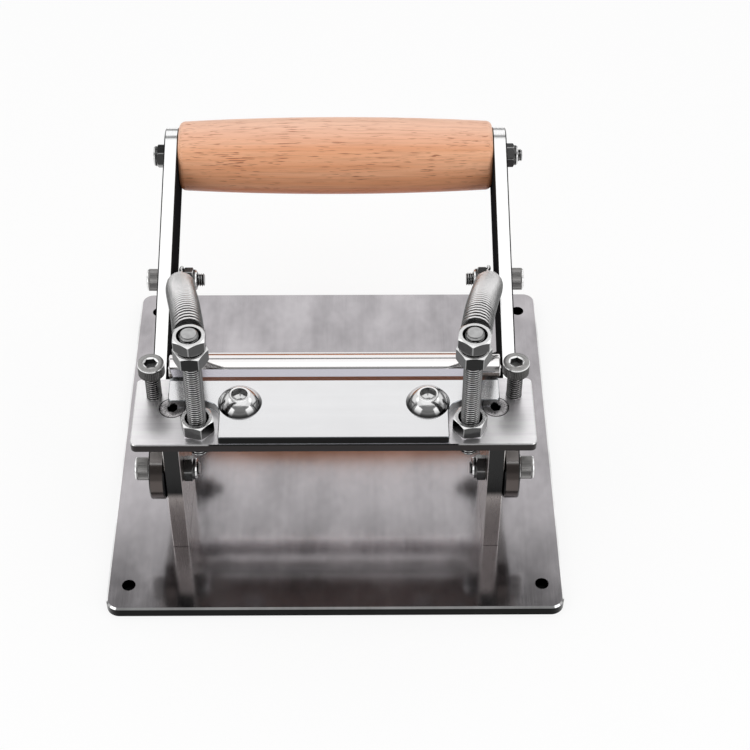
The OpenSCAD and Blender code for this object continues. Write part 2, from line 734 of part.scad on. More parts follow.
// Roller turned in one piece with its two journals
module roller() {
    edge = 0.4;
    journal_end = arm_out - 0.2;
    color(BRIGHT) translate([0, roller_y, roller_z]) rotate([0, 90, 0]) {
        translate([0, 0, -roller_half]) rod(roller_d, 2 * roller_half, edge);
        translate([0, 0, -journal_end]) rod(journal_d, 2 * journal_end, edge);
    }
}

// Two spring bolts through the arms, with their heads outside
module spring_bolts() {
    color(STEEL) for (side = SIDES) outward(side, arm_out, bolt_y, bolt_z)
        cap_screw(m6_d, cap_d, spring_bolt_screw_l);
}

// Two lock nuts that keep the springs on their bolts
module spring_nuts() {
    color(STEEL) for (i = [0, 1]) inward(SIDES[i], bolt_nut_face, bolt_y, bolt_z)
        rotate(SPRING_NUT_TURNS[i]) lock_nut(m6_af, lock_nut_h, m6_d + 2 * fit);
}

// One wound tension spring with a loop at each end
module spring(side) {
    echo(least_gap_in_one_spring = least_gap(WIRE, wire_d));
    color(STEEL) mirror([side > 0 ? 0 : 1, 0, 0]) wire_tube(WIRE, wire_d);
}

base_plate();
base_screws();
upright(-1);  // left_upright
upright(1);  // right_upright
table_plate();
table_screws();
blade();
clamp_plate();
clamp_screws();
stud(-1);  // left_stud
stud(1);  // right_stud
stud_nuts(table_top, m8_nut_h, LOCK_NUT_TURNS);  // stud_lock_nuts
stud_nuts(low_nut_z, m8_nut_h, LOWER_NUT_TURNS);  // spring_lower_nuts
stud_nuts(top_nut_z, top_nut_h, UPPER_NUT_TURNS);  // spring_upper_nuts
adjusting_screw(-1);  // left_adjusting_screw
adjusting_screw(1);  // right_adjusting_screw
pivot_screws();
pivot_washers();
pivot_nuts();
arm(-1);  // left_arm
arm(1);  // right_arm
handle_grip();
handle_tie_rod();
handle_nuts();
roller();
spring_bolts();
spring_nuts();
spring(-1);  // left_spring
spring(1);  // right_spring
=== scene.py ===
import json
import logging
import math
from abc import ABC, abstractmethod
from dataclasses import dataclass, field
from enum import Enum
from typing import Any, Callable, Sequence

import bmesh
import bpy
import numpy as np
from mathutils import Matrix, Vector

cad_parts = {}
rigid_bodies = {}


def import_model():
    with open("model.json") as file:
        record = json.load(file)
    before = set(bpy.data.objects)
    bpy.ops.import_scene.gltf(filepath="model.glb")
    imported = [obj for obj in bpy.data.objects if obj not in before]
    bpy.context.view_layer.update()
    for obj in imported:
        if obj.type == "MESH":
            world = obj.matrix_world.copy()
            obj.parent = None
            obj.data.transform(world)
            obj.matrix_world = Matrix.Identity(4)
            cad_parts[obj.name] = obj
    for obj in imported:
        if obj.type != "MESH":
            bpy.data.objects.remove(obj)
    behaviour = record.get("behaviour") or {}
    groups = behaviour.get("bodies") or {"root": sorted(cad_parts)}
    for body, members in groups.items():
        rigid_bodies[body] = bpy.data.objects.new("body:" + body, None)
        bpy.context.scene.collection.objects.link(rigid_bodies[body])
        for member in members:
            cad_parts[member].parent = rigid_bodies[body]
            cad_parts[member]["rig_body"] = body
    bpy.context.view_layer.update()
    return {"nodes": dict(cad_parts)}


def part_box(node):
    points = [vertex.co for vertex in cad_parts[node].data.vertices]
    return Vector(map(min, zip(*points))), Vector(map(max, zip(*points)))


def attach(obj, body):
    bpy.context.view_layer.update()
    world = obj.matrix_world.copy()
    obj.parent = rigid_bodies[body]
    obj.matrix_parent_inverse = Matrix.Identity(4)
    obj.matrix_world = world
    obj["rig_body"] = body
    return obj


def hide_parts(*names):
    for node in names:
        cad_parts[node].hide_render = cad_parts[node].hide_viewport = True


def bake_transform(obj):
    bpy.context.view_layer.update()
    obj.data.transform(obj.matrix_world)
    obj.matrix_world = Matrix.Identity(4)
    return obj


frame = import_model()

log = logging.getLogger("splitter")
MM = 0.001
Colour = tuple[float, float, float]
Point = tuple[float, float, float]
Span = tuple[float, float]


class Axis(Enum):
    """A direction of the shared frame."""

    X = 0
    Y = 1
    Z = 2


class Side(Enum):
    """The left or the right half of the splitter, seen from the front."""

    LEFT = -1
    RIGHT = 1


class Body(Enum):
    """The bodies that new pieces ride on."""

    FRAME = "frame"
    LEVER = "lever"
    LEFT_ADJUSTER = "left_adjuster"
    RIGHT_ADJUSTER = "right_adjuster"


def operator(operation: str, reflected: bool = False) -> Callable[["Value", Any], "Value"]:
    """Makes one overloaded operator of Value.

    Args:
        operation: The operation of the Math node.
        reflected: Whether the other term comes first.

    Returns:
        The method.
    """
    def method(self: "Value", other: Any) -> "Value":
        """Adds the Math node."""
        return self.graph.maths(operation, *((other, self) if reflected else (self, other)))

    return method


class Value:
    """A shader socket that takes part in Python expressions."""

    __add__, __radd__ = operator("ADD"), operator("ADD", True)
    __sub__, __rsub__ = operator("SUBTRACT"), operator("SUBTRACT", True)
    __mul__, __rmul__ = operator("MULTIPLY"), operator("MULTIPLY", True)
    __truediv__, __rtruediv__ = operator("DIVIDE"), operator("DIVIDE", True)

    def __init__(self, graph: "Graph", socket: bpy.types.NodeSocket) -> None:
        """Wraps one output socket of a graph."""
        self.graph = graph
        self.socket = socket

    def __abs__(self) -> "Value":
        """Gives the size without the sign."""
        return self.graph.maths("ABSOLUTE", self)


class Graph:
    """The node tree of one material or world."""

    def __init__(self, owner: bpy.types.ID) -> None:
        """Starts an empty tree in a material or world."""
        owner.use_nodes = True
        self.tree = owner.node_tree
        self.tree.nodes.clear()

    def feed(self, socket: bpy.types.NodeSocket, value: Any) -> None:
        """Gives a socket a link, a number or a colour.

        Args:
            socket: The input to set.
            value: A Value to link, or a constant.
        """
        if isinstance(value, Value):
            self.tree.links.new(value.socket, socket)
        elif isinstance(value, bpy.types.NodeSocket):
            self.tree.links.new(value, socket)
        elif socket.type == "RGBA" and len(value) == 3:
            socket.default_value = (*value, 1.0)
        else:
            socket.default_value = value

    def node(self, kind: str, settings: dict[str, Any] | None = None,
             sockets: dict[str | int, Any] | None = None) -> bpy.types.Node:
        """Adds any node.

        Args:
            kind: Blender's name of the node type.
            settings: Its properties, set before the sockets.
            sockets: Values or links for the inputs, by name or number.

        Returns:
            The new node.
        """
        made = self.tree.nodes.new(kind)
        for name, value in (settings or {}).items():
            setattr(made, name, value)
        for key, value in (sockets or {}).items():
            self.feed(made.inputs[key], value)
        return made

    def maths(self, operation: str, *terms: Any) -> Value:
        """Adds a Math node with one to three terms."""
        made = self.node("ShaderNodeMath", {"operation": operation}, dict(enumerate(terms)))
        return Value(self, made.outputs[0])

    def mix(self, share: Any, low: Any, high: Any, blend: str = "MIX") -> Value:
        """Mixes two colours, of which the second shows by a share from 0 to 1."""
        made = self.node("ShaderNodeMix", {"data_type": "RGBA", "blend_type": blend},
                         {0: share, 6: low, 7: high})
        return Value(self, made.outputs[2])

    def step(self, value: Any, low: float, high: float) -> Value:
        """Rises smoothly from 0 to 1 while a value goes from low to high.

        Args:
            value: What is looked at.
            low: Where the rise starts.
            high: Where it ends; a lower number than low turns it round.

        Returns:
            The share from 0 to 1.
        """
        turned = low > high
        made = self.node("ShaderNodeMapRange", {"interpolation_type": "SMOOTHSTEP"}, {
            "Value": value, "From Min": min(low, high), "From Max": max(low, high)})
        rise = Value(self, made.outputs[0])
        return 1 - rise if turned else rise

    def place(self, turn: float = 0.0, centre: Point = (0, 0, 0)) -> Value:
        """Gives the place on the object in millimetres.

        Args:
            turn: Angle in degrees by which the frame is turned about X.
            centre: Point in millimetres that becomes the origin.

        Returns:
            The place as a vector.
        """
        found = self.node("ShaderNodeTexCoord").outputs["Object"]
        moved = self.node("ShaderNodeMapping", {"vector_type": "TEXTURE"}, {
            "Vector": found, "Location": tuple(c * MM for c in centre),
            "Rotation": (math.radians(turn), 0, 0), "Scale": (MM, MM, MM)})
        return Value(self, moved.outputs[0])

    def parts(self, vector: Any) -> tuple[Value, Value, Value]:
        """Splits a vector into its three numbers."""
        made = self.node("ShaderNodeSeparateXYZ", None, {0: vector})
        return tuple(Value(self, output) for output in made.outputs)

    def scaled(self, vector: Any, by: Point) -> Value:
        """Multiplies a vector by three numbers."""
        made = self.node("ShaderNodeVectorMath", {"operation": "MULTIPLY"}, {0: vector, 1: by})
        return Value(self, made.outputs[0])

    def noise(self, vector: Any, scale: float, detail: float = 2.0, rough: float = 0.5) -> Value:
        """Adds noise from 0 to 1, with scale features in a millimetre and finer layers."""
        made = self.node("ShaderNodeTexNoise", None, {
            "Vector": vector, "Scale": scale, "Detail": detail, "Roughness": rough})
        return Value(self, made.outputs[0])

    def looks(self, turn: float = 0.0) -> tuple[Value, Value, Value]:
        """Gives which way a face looks.

        Args:
            turn: Angle in degrees by which the axes are turned about X.

        Returns:
            The three parts of the face's direction, each from -1 to 1.
        """
        normal = self.node("ShaderNodeTexCoord").outputs["Normal"]
        turned = self.node("ShaderNodeMapping", {"vector_type": "TEXTURE"}, {
            "Vector": normal, "Rotation": (math.radians(turn), 0, 0)})
        return self.parts(Value(self, turned.outputs[0]))

    def bump(self, height: Value, depth: float) -> Value:
        """Turns a height from 0 to 1 into a bumpy normal, depth millimetres high."""
        made = self.node("ShaderNodeBump", None, {
            "Height": height, "Distance": depth * MM, "Strength": 1.0})
        return Value(self, made.outputs[0])

    def surface(self, sockets: dict[str, Any]) -> None:
        """Ends the tree in a Principled shader with these inputs."""
        shader = self.node("ShaderNodeBsdfPrincipled", None, sockets)
        self.node("ShaderNodeOutputMaterial", None, {"Surface": shader.outputs[0]})


@dataclass(frozen=True)
class Finish(ABC):
    """A surface finish that makes its material once."""

    name: str

    def material(self) -> bpy.types.Material:
        """Gives the finish's material, and builds it on first use.

        Returns:
            The material.
        """
        found = bpy.data.materials.get(self.name)
        if found is None:
            found = bpy.data.materials.new(self.name)
            self.build(Graph(found))
        return found

    @abstractmethod
    def build(self, graph: Graph) -> None:
        """Fills the material's tree."""


def grey(tone: float) -> Colour:
    """Gives a neutral colour."""
    return tone, tone, tone


@dataclass(frozen=True)
class BrushedPlate(Finish):
    """Plate steel brushed in one direction, with painted light and shade on the cut edges and
    bevels.

    The spans are pairs of ends for Graph.step, in parts of a face's direction or in millimetres.
    """

    colour: Colour
    # The edge colour is painted light and shade on the cut edges: where dark, mostly painted shade
    # and partly the edges' own darker oxide; where pale, a painted highlight.
    edge_colour: Colour
    roughness: float
    line_depth: float
    # The far colour is painted shade on the face turned away, such as the table's underside.
    far_colour: Colour | None = None
    # The under colour is painted shade on edges that face down or to the front.
    under_colour: Colour | None = None
    # The bevel colour is a painted highlight where bright and painted shade where dark.
    bevel_colour: Colour | None = None
    bevel_from: float = 0.93
    # Within this half width of the middle the bevel takes the edge colour, as painted shade in
    # front of the clamp.
    dull_half: float = 0.0
    grain: Axis = Axis.X
    face: Axis = Axis.Z
    turn: float = 0.0
    streak: float = 0.1
    blotch: float = 0.25
    shade_colour: Colour | None = None
    shade_axis: Axis = Axis.Y
    shade_span: Span = (0.0, 1.0)

    far_span = (-0.1, 0.1)
    below_span = (0.1, -0.4)
    front_span = (-0.5, -0.85)
    edge_span = (0.5, 0.4)
    bevel_width = 0.06
    line_stretch, line_scale = 0.012, 3.0
    band_share, band_scale = 0.6, 0.12
    cloud_stretch, cloud_scale = 0.6, 0.05
    line_rough, cloud_rough = 0.12, 0.1

    def tone(self, graph: Graph, place: Value) -> Value:
        """Gives the colour of the faces, with painted light and shade on the edges, bevels and far
        face.

        Args:
            graph: The material's tree.
            place: The place on the plate.

        Returns:
            The colour before the brush lines.
        """
        looks = graph.looks(self.turn)
        square = looks[self.face.value]
        flat, edge, far = self.colour, self.edge_colour, self.far_colour
        if self.under_colour:
            below = graph.maths("MAXIMUM", graph.step(looks[2], *self.below_span),
                                graph.step(looks[1], *self.front_span))
            edge = graph.mix(below, edge, self.under_colour)
        if self.shade_colour:
            shade = graph.step(graph.parts(place)[self.shade_axis.value], *self.shade_span)
            edge = graph.mix(shade, edge, self.shade_colour)
            far = far and graph.mix(shade, far, self.shade_colour)
        if far:
            flat = graph.mix(graph.step(square, *self.far_span), far, flat)
        if self.bevel_colour:
            bevel = self.bevel_colour
            if self.dull_half:
                # Painted shade on the bevel near the middle, in front of the clamp.
                bevel_shade_share = graph.step(abs(graph.parts(place)[0]), self.dull_half + 1, self.dull_half)
                bevel = graph.mix(bevel_shade_share, bevel, self.edge_colour)
            share = graph.step(abs(square), self.bevel_from, self.bevel_from - self.bevel_width)
            flat = graph.mix(share, flat, bevel)
        return graph.mix(graph.step(abs(square), *self.edge_span), flat, edge)

    def stretched(self, graph: Graph, place: Value, by: float) -> Value:
        """Stretches the place along the grain."""
        return graph.scaled(place, tuple(by if axis is self.grain else 1.0 for axis in Axis))

    def build(self, graph: Graph) -> None:
        """Lays brush lines, soft blotches and the painted light and shade of the edges.

        Args:
            graph: The material's empty tree.
        """
        place = graph.place(self.turn)
        along = self.stretched(graph, place, self.line_stretch)
        lines = graph.noise(along, self.line_scale, 4.0, 0.7)
        bands = graph.noise(along, self.line_scale * self.band_scale, 2.0)
        clouds = graph.noise(self.stretched(graph, place, self.cloud_stretch), self.cloud_scale,
                             3.0, 0.6)
        shade = 1 + self.streak * (lines - 0.5) \
            + self.streak * self.band_share * (bands - 0.5) + self.blotch * (clouds - 0.5)
        graph.surface({
            "Base Color": graph.mix(1.0, self.tone(graph, place), shade, "MULTIPLY"),
            "Metallic": 1.0,
            "Roughness": self.roughness + self.line_rough * (lines - 0.5)
            + self.cloud_rough * (clouds - 0.5),
            "Normal": graph.bump(lines, self.line_depth)})


@dataclass(frozen=True)
class TurnedSteel(Finish):
    """Turned, drawn or rolled steel with fine marks and small stains, and painted shade on the
    flanks.
    """

    colour: Colour
    roughness: float
    # The flank colour is painted shade on faces turned away from the face axis.
    flank_colour: Colour | None = None
    face: Axis = Axis.Z
    flank_span: Span = (0.45, 0.15)
    mark_depth: float = 0.01
    stain: float = 0.28
    # A gloss below white dims the reflections, as painted shade.
    gloss: Colour = (1.0, 1.0, 1.0)
    metallic: float = 1.0
    shine: float = 0.5

    mark_scale, stain_scale = 6.0, 0.5
    mark_rough, stain_rough = 0.08, 0.12

    def build(self, graph: Graph) -> None:
        """Lays the tool marks, the stains and the painted shade on the flanks.

        Args:
            graph: The material's empty tree.
        """
        place = graph.place()
        marks = graph.noise(place, self.mark_scale, 3.0, 0.6)
        stains = graph.noise(place, self.stain_scale)
        tone = self.colour
        if self.flank_colour:
            square = abs(graph.looks()[self.face.value])
            tone = graph.mix(graph.step(square, *self.flank_span), tone, self.flank_colour)
        graph.surface({
            "Base Color": graph.mix(1.0, tone, 1 + self.stain * (stains - 0.5), "MULTIPLY"),
            "Metallic": self.metallic,
            "Specular IOR Level": self.shine,
            "Specular Tint": self.gloss,
            "Roughness": self.roughness + self.stain_rough * (stains - 0.5)
            + self.mark_rough * (marks - 0.5),
            "Normal": graph.bump(marks, self.mark_depth)})


@dataclass(frozen=True)
class LacqueredWood(Finish):
    """Pale reddish wood under a thin lacquer, with open pores along the handle, painted light on
    top and painted shade below.

    Each noise is its stretch along the handle, then its scale, detail and roughness.
    """

    colour: Colour = (0.9, 0.39, 0.187)
    light: Colour = (1.0, 0.53, 0.31)
    # This colour is painted light on the top of the handle.
    pale: Colour = (0.99, 0.64, 0.48)
    # This colour is painted shade under the handle.
    deep: Colour = (0.78, 0.16, 0.02)
    dark: Colour = (0.42, 0.12, 0.05)
    pale_span: Span = (0.0, 18.0)
    deep_span: Span = (-2.0, -14.0)
    ring_span: Span = (0.35, 0.68)
    streak_span: Span = (0.42, 0.75)
    pore_span: Span = (0.62, 0.74)
    roughness: float = 0.42
    pore_depth: float = 0.05
    centre: Point = (0.0, 93.5, 100.0)

    ring_noise = (0.012, 0.16, 3.0, 0.6)
    streak_noise = (0.03, 1.1, 3.0, 0.6)
    pore_noise = (0.05, 2.5, 1.0)
    crowd_noise = (0.3, 0.1, 1.0)
    crowding, slant = 0.28, 0.8
    pale_share, streak_share, pore_share = 0.75, 0.3, 0.9
    streak_rough, pore_rough, streak_height = 0.12, 0.15, 0.4
    coat, coat_roughness = 0.12, 0.35

    def build(self, graph: Graph) -> None:
        """Lays the growth rings, the streaks, the pores, painted light on top and painted shade
        below.

        Args:
            graph: The material's empty tree.
        """
        place = graph.place(0.0, self.centre)
        rings, streaks, pores, crowd = (
            graph.noise(graph.scaled(place, (stretch, 1.0, 1.0)), *rest) for stretch, *rest in
            (self.ring_noise, self.streak_noise, self.pore_noise, self.crowd_noise))
        fleck = graph.step(pores + self.crowding * (crowd - 0.5), *self.pore_span)
        _, depth, height = graph.parts(place)
        tone = graph.mix(graph.step(rings, *self.ring_span), self.colour, self.light)
        for share, colour in (
                # Painted light on top, then painted shade below, then the streaks and pores.
                (graph.step(height + self.slant * depth, *self.pale_span) * self.pale_share,
                 self.pale),
                (graph.step(height, *self.deep_span), self.deep),
                (graph.step(streaks, *self.streak_span) * self.streak_share, self.dark),
                (fleck * self.pore_share, self.dark)):
            tone = graph.mix(share, tone, colour)
        graph.surface({
            "Base Color": tone,
            "Roughness": self.roughness + self.streak_rough * (streaks - 0.5)
            + self.pore_rough * fleck,
            "Coat Weight": self.coat,
            "Coat Roughness": self.coat_roughness,
            "Normal": graph.bump(streaks * self.streak_height - fleck, self.pore_depth)})


class Finishes:
    """The finishes of this splitter."""

    # Painted shade makes the base's cut edges near black, and a painted highlight makes its bevels
    # bright.
    base = BrushedPlate("brushed base steel", (0.44, 0.42, 0.435), grey(0.006), 0.13, 0.002,
                        bevel_colour=grey(0.9), grain=Axis.Y, streak=0.2, blotch=1.1)
    # The table's dark edges, shaded underside, shaded middle bevel and rear shade are painted
    # shade; its bright bevels are a painted highlight.
    table = BrushedPlate("brushed table steel", (0.99, 0.97, 0.99), (0.035, 0.032, 0.032), 0.33,
                         0.008, (0.4, 0.375, 0.36), bevel_colour=grey(0.85), dull_half=52.0,
                         streak=0.4, blotch=0.3, shade_colour=(0.22, 0.2, 0.19),
                         shade_span=(-44.0, -36.0))
    # The uprights' paler front edges and bevels are painted light, and their dark tops under the
    # table are painted shade.
    upright = BrushedPlate("upright steel", (0.46, 0.42, 0.4), (0.66, 0.6, 0.58), 0.28, 0.005,
                           bevel_colour=(0.7, 0.67, 0.65), grain=Axis.Z, face=Axis.X,
                           streak=0.15, shade_colour=grey(0.03), shade_axis=Axis.Z,
                           shade_span=(37.0, 42.0))
    # The clamp's dark edges, darker rear slope and shaded ear fronts are painted shade.
    clamp = BrushedPlate("ground clamp steel", (0.79, 0.79, 0.8), grey(0.01), 0.14, 0.002,
                         bevel_colour=(0.34, 0.36, 0.38), bevel_from=0.985, streak=0.08,
                         blotch=0.2, shade_colour=grey(0.14), shade_span=(-60.0, -50.0))
    # The blade's darker edges are painted shade.
    blade = BrushedPlate("ground blade steel", (0.56, 0.545, 0.6), (0.3, 0.3, 0.32), 0.2, 0.004,
                         blotch=0.1)
    # The arms' white edges are a painted highlight; their darker under edges, bevel lines and front
    # ends are painted shade.
    arm = BrushedPlate("arm steel", (0.4, 0.39, 0.4), grey(0.95), 0.2, 0.003,
                       under_colour=(0.3, 0.29, 0.28), bevel_colour=grey(0.02), grain=Axis.Y,
                       face=Axis.X, turn=20.0, streak=0.08, blotch=0.08,
                       shade_colour=(0.1, 0.085, 0.08), shade_span=(-37.0, -40.0))
    roller = TurnedSteel("polished roller steel", (0.86, 0.84, 0.84), 0.07, mark_depth=0.0,
                         stain=0.04)
    # Painted shade on the arms' inner faces: near black, matt, with no reflection.
    inner = TurnedSteel("inner painted shade steel", (0.016, 0.016, 0.017), 0.5, metallic=0.0,
                        shine=0.0)
    # The nut faces and flanks are lit and shaded copies of one steel: the flanks' darkness is
    # painted shade, darker still on the lower nut.
    nut_top = TurnedSteel("nut face steel", grey(0.72), 0.22)
    nut_flank = TurnedSteel("nut flank steel", grey(0.08), 0.18)
    low_flank = TurnedSteel("lower nut flank steel", grey(0.025), 0.16)
    # Painted highlight on the nut corners.
    corner = TurnedSteel("nut corner steel", grey(0.28), 0.3)
    # Painted highlight on the screw heads' rims and the dome's flat ring.
    edge = TurnedSteel("rim painted highlight steel", grey(0.9), 0.25)
    black = TurnedSteel("shadowed bore steel", grey(0.012), 0.4, gloss=grey(0.05))
    # The crests' dark flanks and the roots' darkness are painted shade.
    crest = TurnedSteel("thread crest steel", grey(0.6), 0.22)
    stud_crest = TurnedSteel("stud crest steel", grey(0.85), 0.22, grey(0.13), Axis.Y,
                             (0.92, 0.4))
    screw_crest = TurnedSteel("adjusting crest steel", (0.6, 0.58, 0.58), 0.25, grey(0.07),
                              Axis.Y, (0.95, 0.45))
    root = TurnedSteel("thread root steel", grey(0.03), 0.35, gloss=grey(0.1))
    end = TurnedSteel("stud end steel", grey(0.5), 0.35, stain=0.6)
    rim = TurnedSteel("stud rim steel", grey(0.3), 0.38, stain=0.6)
    # The dome's dark flanks are painted shade.
    dome = TurnedSteel("polished dome steel", grey(0.66), 0.12, grey(0.06),
                       flank_span=(0.72, 0.45), mark_depth=0.001, stain=0.06)
    # The sockets' dark walls and greyer bottoms are painted shade.
    socket = TurnedSteel("socket wall steel", grey(0.1), 0.25)
    bottom = TurnedSteel("socket bottom steel", grey(0.35), 0.35)
    # The knurled sides' darkness against the tops is painted shade.
    cap = TurnedSteel("cap screw steel", (0.62, 0.61, 0.6), 0.24)
    knurl = TurnedSteel("knurled side steel", (0.28, 0.275, 0.27), 0.3)
    dark_cap = TurnedSteel("dark cap steel", (0.34, 0.335, 0.33), 0.3, stain=0.5)
    dark_knurl = TurnedSteel("dark knurl steel", (0.09, 0.088, 0.086), 0.28)
    # The sunk head's dark cone is painted shade.
    sunk = TurnedSteel("sunk head steel", (0.7, 0.68, 0.69), 0.28, grey(0.02),
                       flank_span=(0.85, 0.75))
    washer = TurnedSteel("lock nut steel", (0.5, 0.49, 0.49), 0.22)
    # The wire's dark flanks are painted shade.
    wire = TurnedSteel("drawn spring steel", (0.75, 0.74, 0.74), 0.24, grey(0.13),
                       flank_span=(0.92, 0.45))
    wire_side = TurnedSteel("shadowed spring steel", grey(0.1), 0.35, gloss=grey(0.3))
    wood = LacqueredWood("lacquered handle wood")


@dataclass
class Shape:
    """A mesh in the making, in millimetres, whose faces each name a tone."""

    points: list[Point] = field(default_factory=list)
    faces: list[tuple[int, ...]] = field(default_factory=list)
    tones: list[int] = field(default_factory=list)

    def add(self, other: "Shape", place: Matrix, tone_shift: int = 0) -> "Shape":
        """Adds another shape.

        Args:
            other: The shape to add.
            place: Where it goes.
            tone_shift: What is added to its tones.

        Returns:
            This shape.
        """
        start = len(self.points)
        self.points += [tuple(place @ Vector(p)) for p in other.points]
        self.faces += [tuple(start + i for i in face) for face in other.faces]
        self.tones += [tone + tone_shift for tone in other.tones]
        return self

    @staticmethod
    def from_rings(rings: Sequence[Sequence[Point]], tone: Callable[[int, int], int],
                   end_tone: int | None) -> "Shape":
        """Joins rings of equal length into a skin.

        Args:
            rings: The rings, each turning left seen from the end of the row.
            tone: Gives a face's tone from its row and its place in the row.
            end_tone: The tone of both ends' fillings, or None to join the last ring to the first.

        Returns:
            The shape.
        """
        made = Shape([tuple(point) for row in rings for point in row])
        count, rows = len(rings[0]), len(rings)
        for row in range(rows if end_tone is None else rows - 1):
            low, high = row * count, (row + 1) % rows * count
            for i in range(count):
                j = (i + 1) % count
                made.faces.append((low + i, low + j, high + j, high + i))
                made.tones.append(tone(row, i))
        if end_tone is not None:
            last = (rows - 1) * count
            made.faces += [tuple(range(count))[::-1], tuple(range(last, last + count))]
            made.tones += [end_tone, end_tone]
        return made

    def piece(self, name: str, node: str, body: Body, slot: str, finishes: Sequence[Finish],
              sharp: float = 32.0) -> bpy.types.Object:
        """Makes the scene object.

        Args:
            name: The piece's name.
            node: The CAD node that it stands for.
            body: The body that it rides on.
            slot: The record's material slot.
            finishes: Its finishes, in the order of the tones.
            sharp: The angle in degrees above which an edge stays sharp.

        Returns:
            The object.
        """
        mesh = bpy.data.meshes.new(name)
        mesh.from_pydata([tuple(c * MM for c in p) for p in self.points], [], self.faces)
        for finish in finishes:
            mesh.materials.append(finish.material())
        mesh.polygons.foreach_set("material_index", self.tones)
        return place_mesh(mesh, node, body, slot, sharp)


def place_mesh(mesh: bpy.types.Mesh, node: str, body: Body, slot: str,
               sharp: float) -> bpy.types.Object:
    """Puts a finished mesh on its body.

    Args:
        mesh: The mesh, in metres, with the piece's name.
        node: The CAD node that it stands for.
        body: The body that it rides on.
        slot: The record's material slot; not used.
        sharp: The angle in degrees above which an edge stays sharp.

    Returns:
        The object.
    """
    mesh.validate()
    mesh.polygons.foreach_set("use_smooth", [True] * len(mesh.polygons))
    mesh.set_sharp_from_angle(angle=math.radians(sharp))
    made = bpy.data.objects.new(mesh.name, mesh)
    bpy.context.scene.collection.objects.link(made)
    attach(made, body.value)
    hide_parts(node)
    log.info("piece %s on %s: %d faces", mesh.name, body.value, len(mesh.polygons))
    return made


def outline(reach: Callable[[float], float], height: float, count: int) -> list[Point]:
    """Gives a level outline whose reach depends on the angle, turning left seen from above."""
    angles = [math.tau * i / count for i in range(count)]
    return [(reach(a) * math.cos(a), reach(a) * math.sin(a), height) for a in angles]


def ring(radius: float, height: float, count: int) -> list[Point]:
    """Gives a level ring of points."""
    return outline(lambda _: radius, height, count)


def hexagon(flats: float, height: float, count: int) -> list[Point]:
    """Gives a level hexagon, flats wide, as a ring of points whose count six divides."""
    return outline(lambda a: flats / 2 / math.cos(a % (math.pi / 3) - math.pi / 6), height, count)


def at(x: float, y: float, z: float) -> Matrix:
    """Gives an unturned place in millimetres."""
    return Matrix.Translation((x, y, z))


def pointing(side: Side, x: float, spot: Vector, outward: bool) -> Matrix:
    """Gives the place of something drawn along +Z that lies along X, x from the middle."""
    turn = math.radians(side.value * (90 if outward else -90))
    return at(side.value * x, spot.y, spot.z) @ Matrix.Rotation(turn, 4, "Y")


def pair(shape: Shape, place: Callable[[Side], Matrix], spins: Span) -> Shape:
    """Gives a shape on both sides.

    Args:
        shape: The shape, drawn along +Z.
        place: Gives its place on a side.
        spins: The left and the right one's angles about their own Z axis, in degrees.

    Returns:
        Both as one shape.
    """
    made = Shape()
    for side, spin in zip(Side, spins):
        made.add(shape, place(side) @ Matrix.Rotation(math.radians(spin), 4, "Z"))
    return made


@dataclass
class Thread:
    """A threaded rod along +Z from its lower end. Its tones are crest, root, end and rim."""

    diameter: float
    pitch: float
    length: float
    bevel: float = 0.5
    around: int = 28
    steps: int = 10

    depth_share = 0.61
    plateau, steepness = 1.45, 4.2
    # The roots carry painted shade.
    tones = (Finishes.crest, Finishes.root, Finishes.end, Finishes.rim)
    stud_tones = (Finishes.stud_crest, *tones[1:])
    screw_tones = (Finishes.screw_crest, *tones[1:])

    def lift(self, height: float, angle: float) -> float:
        """Gives how far a point lies up the thread, from 0 in the root to 1 on the crest."""
        phase = (height / self.pitch - angle / math.tau) % 1.0
        return min(1.0, max(0.0, self.plateau - abs(phase - 0.5) * self.steepness))

    def radius(self, height: float, angle: float) -> float:
        """Gives the radius of the thread at one point.

        Args:
            height: Height above the lower end.
            angle: Angle round the axis in radians.

        Returns:
            The radius in millimetres.
        """
        depth = self.depth_share * self.pitch
        full = self.diameter / 2 - depth * (1 - self.lift(height, angle))
        from_end = min(height, self.length - height)
        return min(full, self.diameter / 2 - max(0.0, self.bevel - from_end))

    def shape(self) -> Shape:
        """Gives the threaded rod.

        Returns:
            The rod, with its faces' tones.
        """
        count = max(2, round(self.length / self.pitch * self.steps))
        rise = self.length / count
        rings = [outline(lambda a, z=rise * row: self.radius(z, a), rise * row, self.around)
                 for row in range(count + 1)]

        def tone(row: int, i: int) -> int:
            """Tells the crests and the bevelled ends from the roots.

            Args:
                row: The row of the face.
                i: Its place in the row.

            Returns:
                The tone.
            """
            height = (row + 0.5) * rise
            if min(height, self.length - height) < self.bevel:
                return 3
            return 0 if self.lift(height, math.tau * (i + 0.5) / self.around) > 0.5 else 1

        return Shape.from_rings(rings, tone, 2)


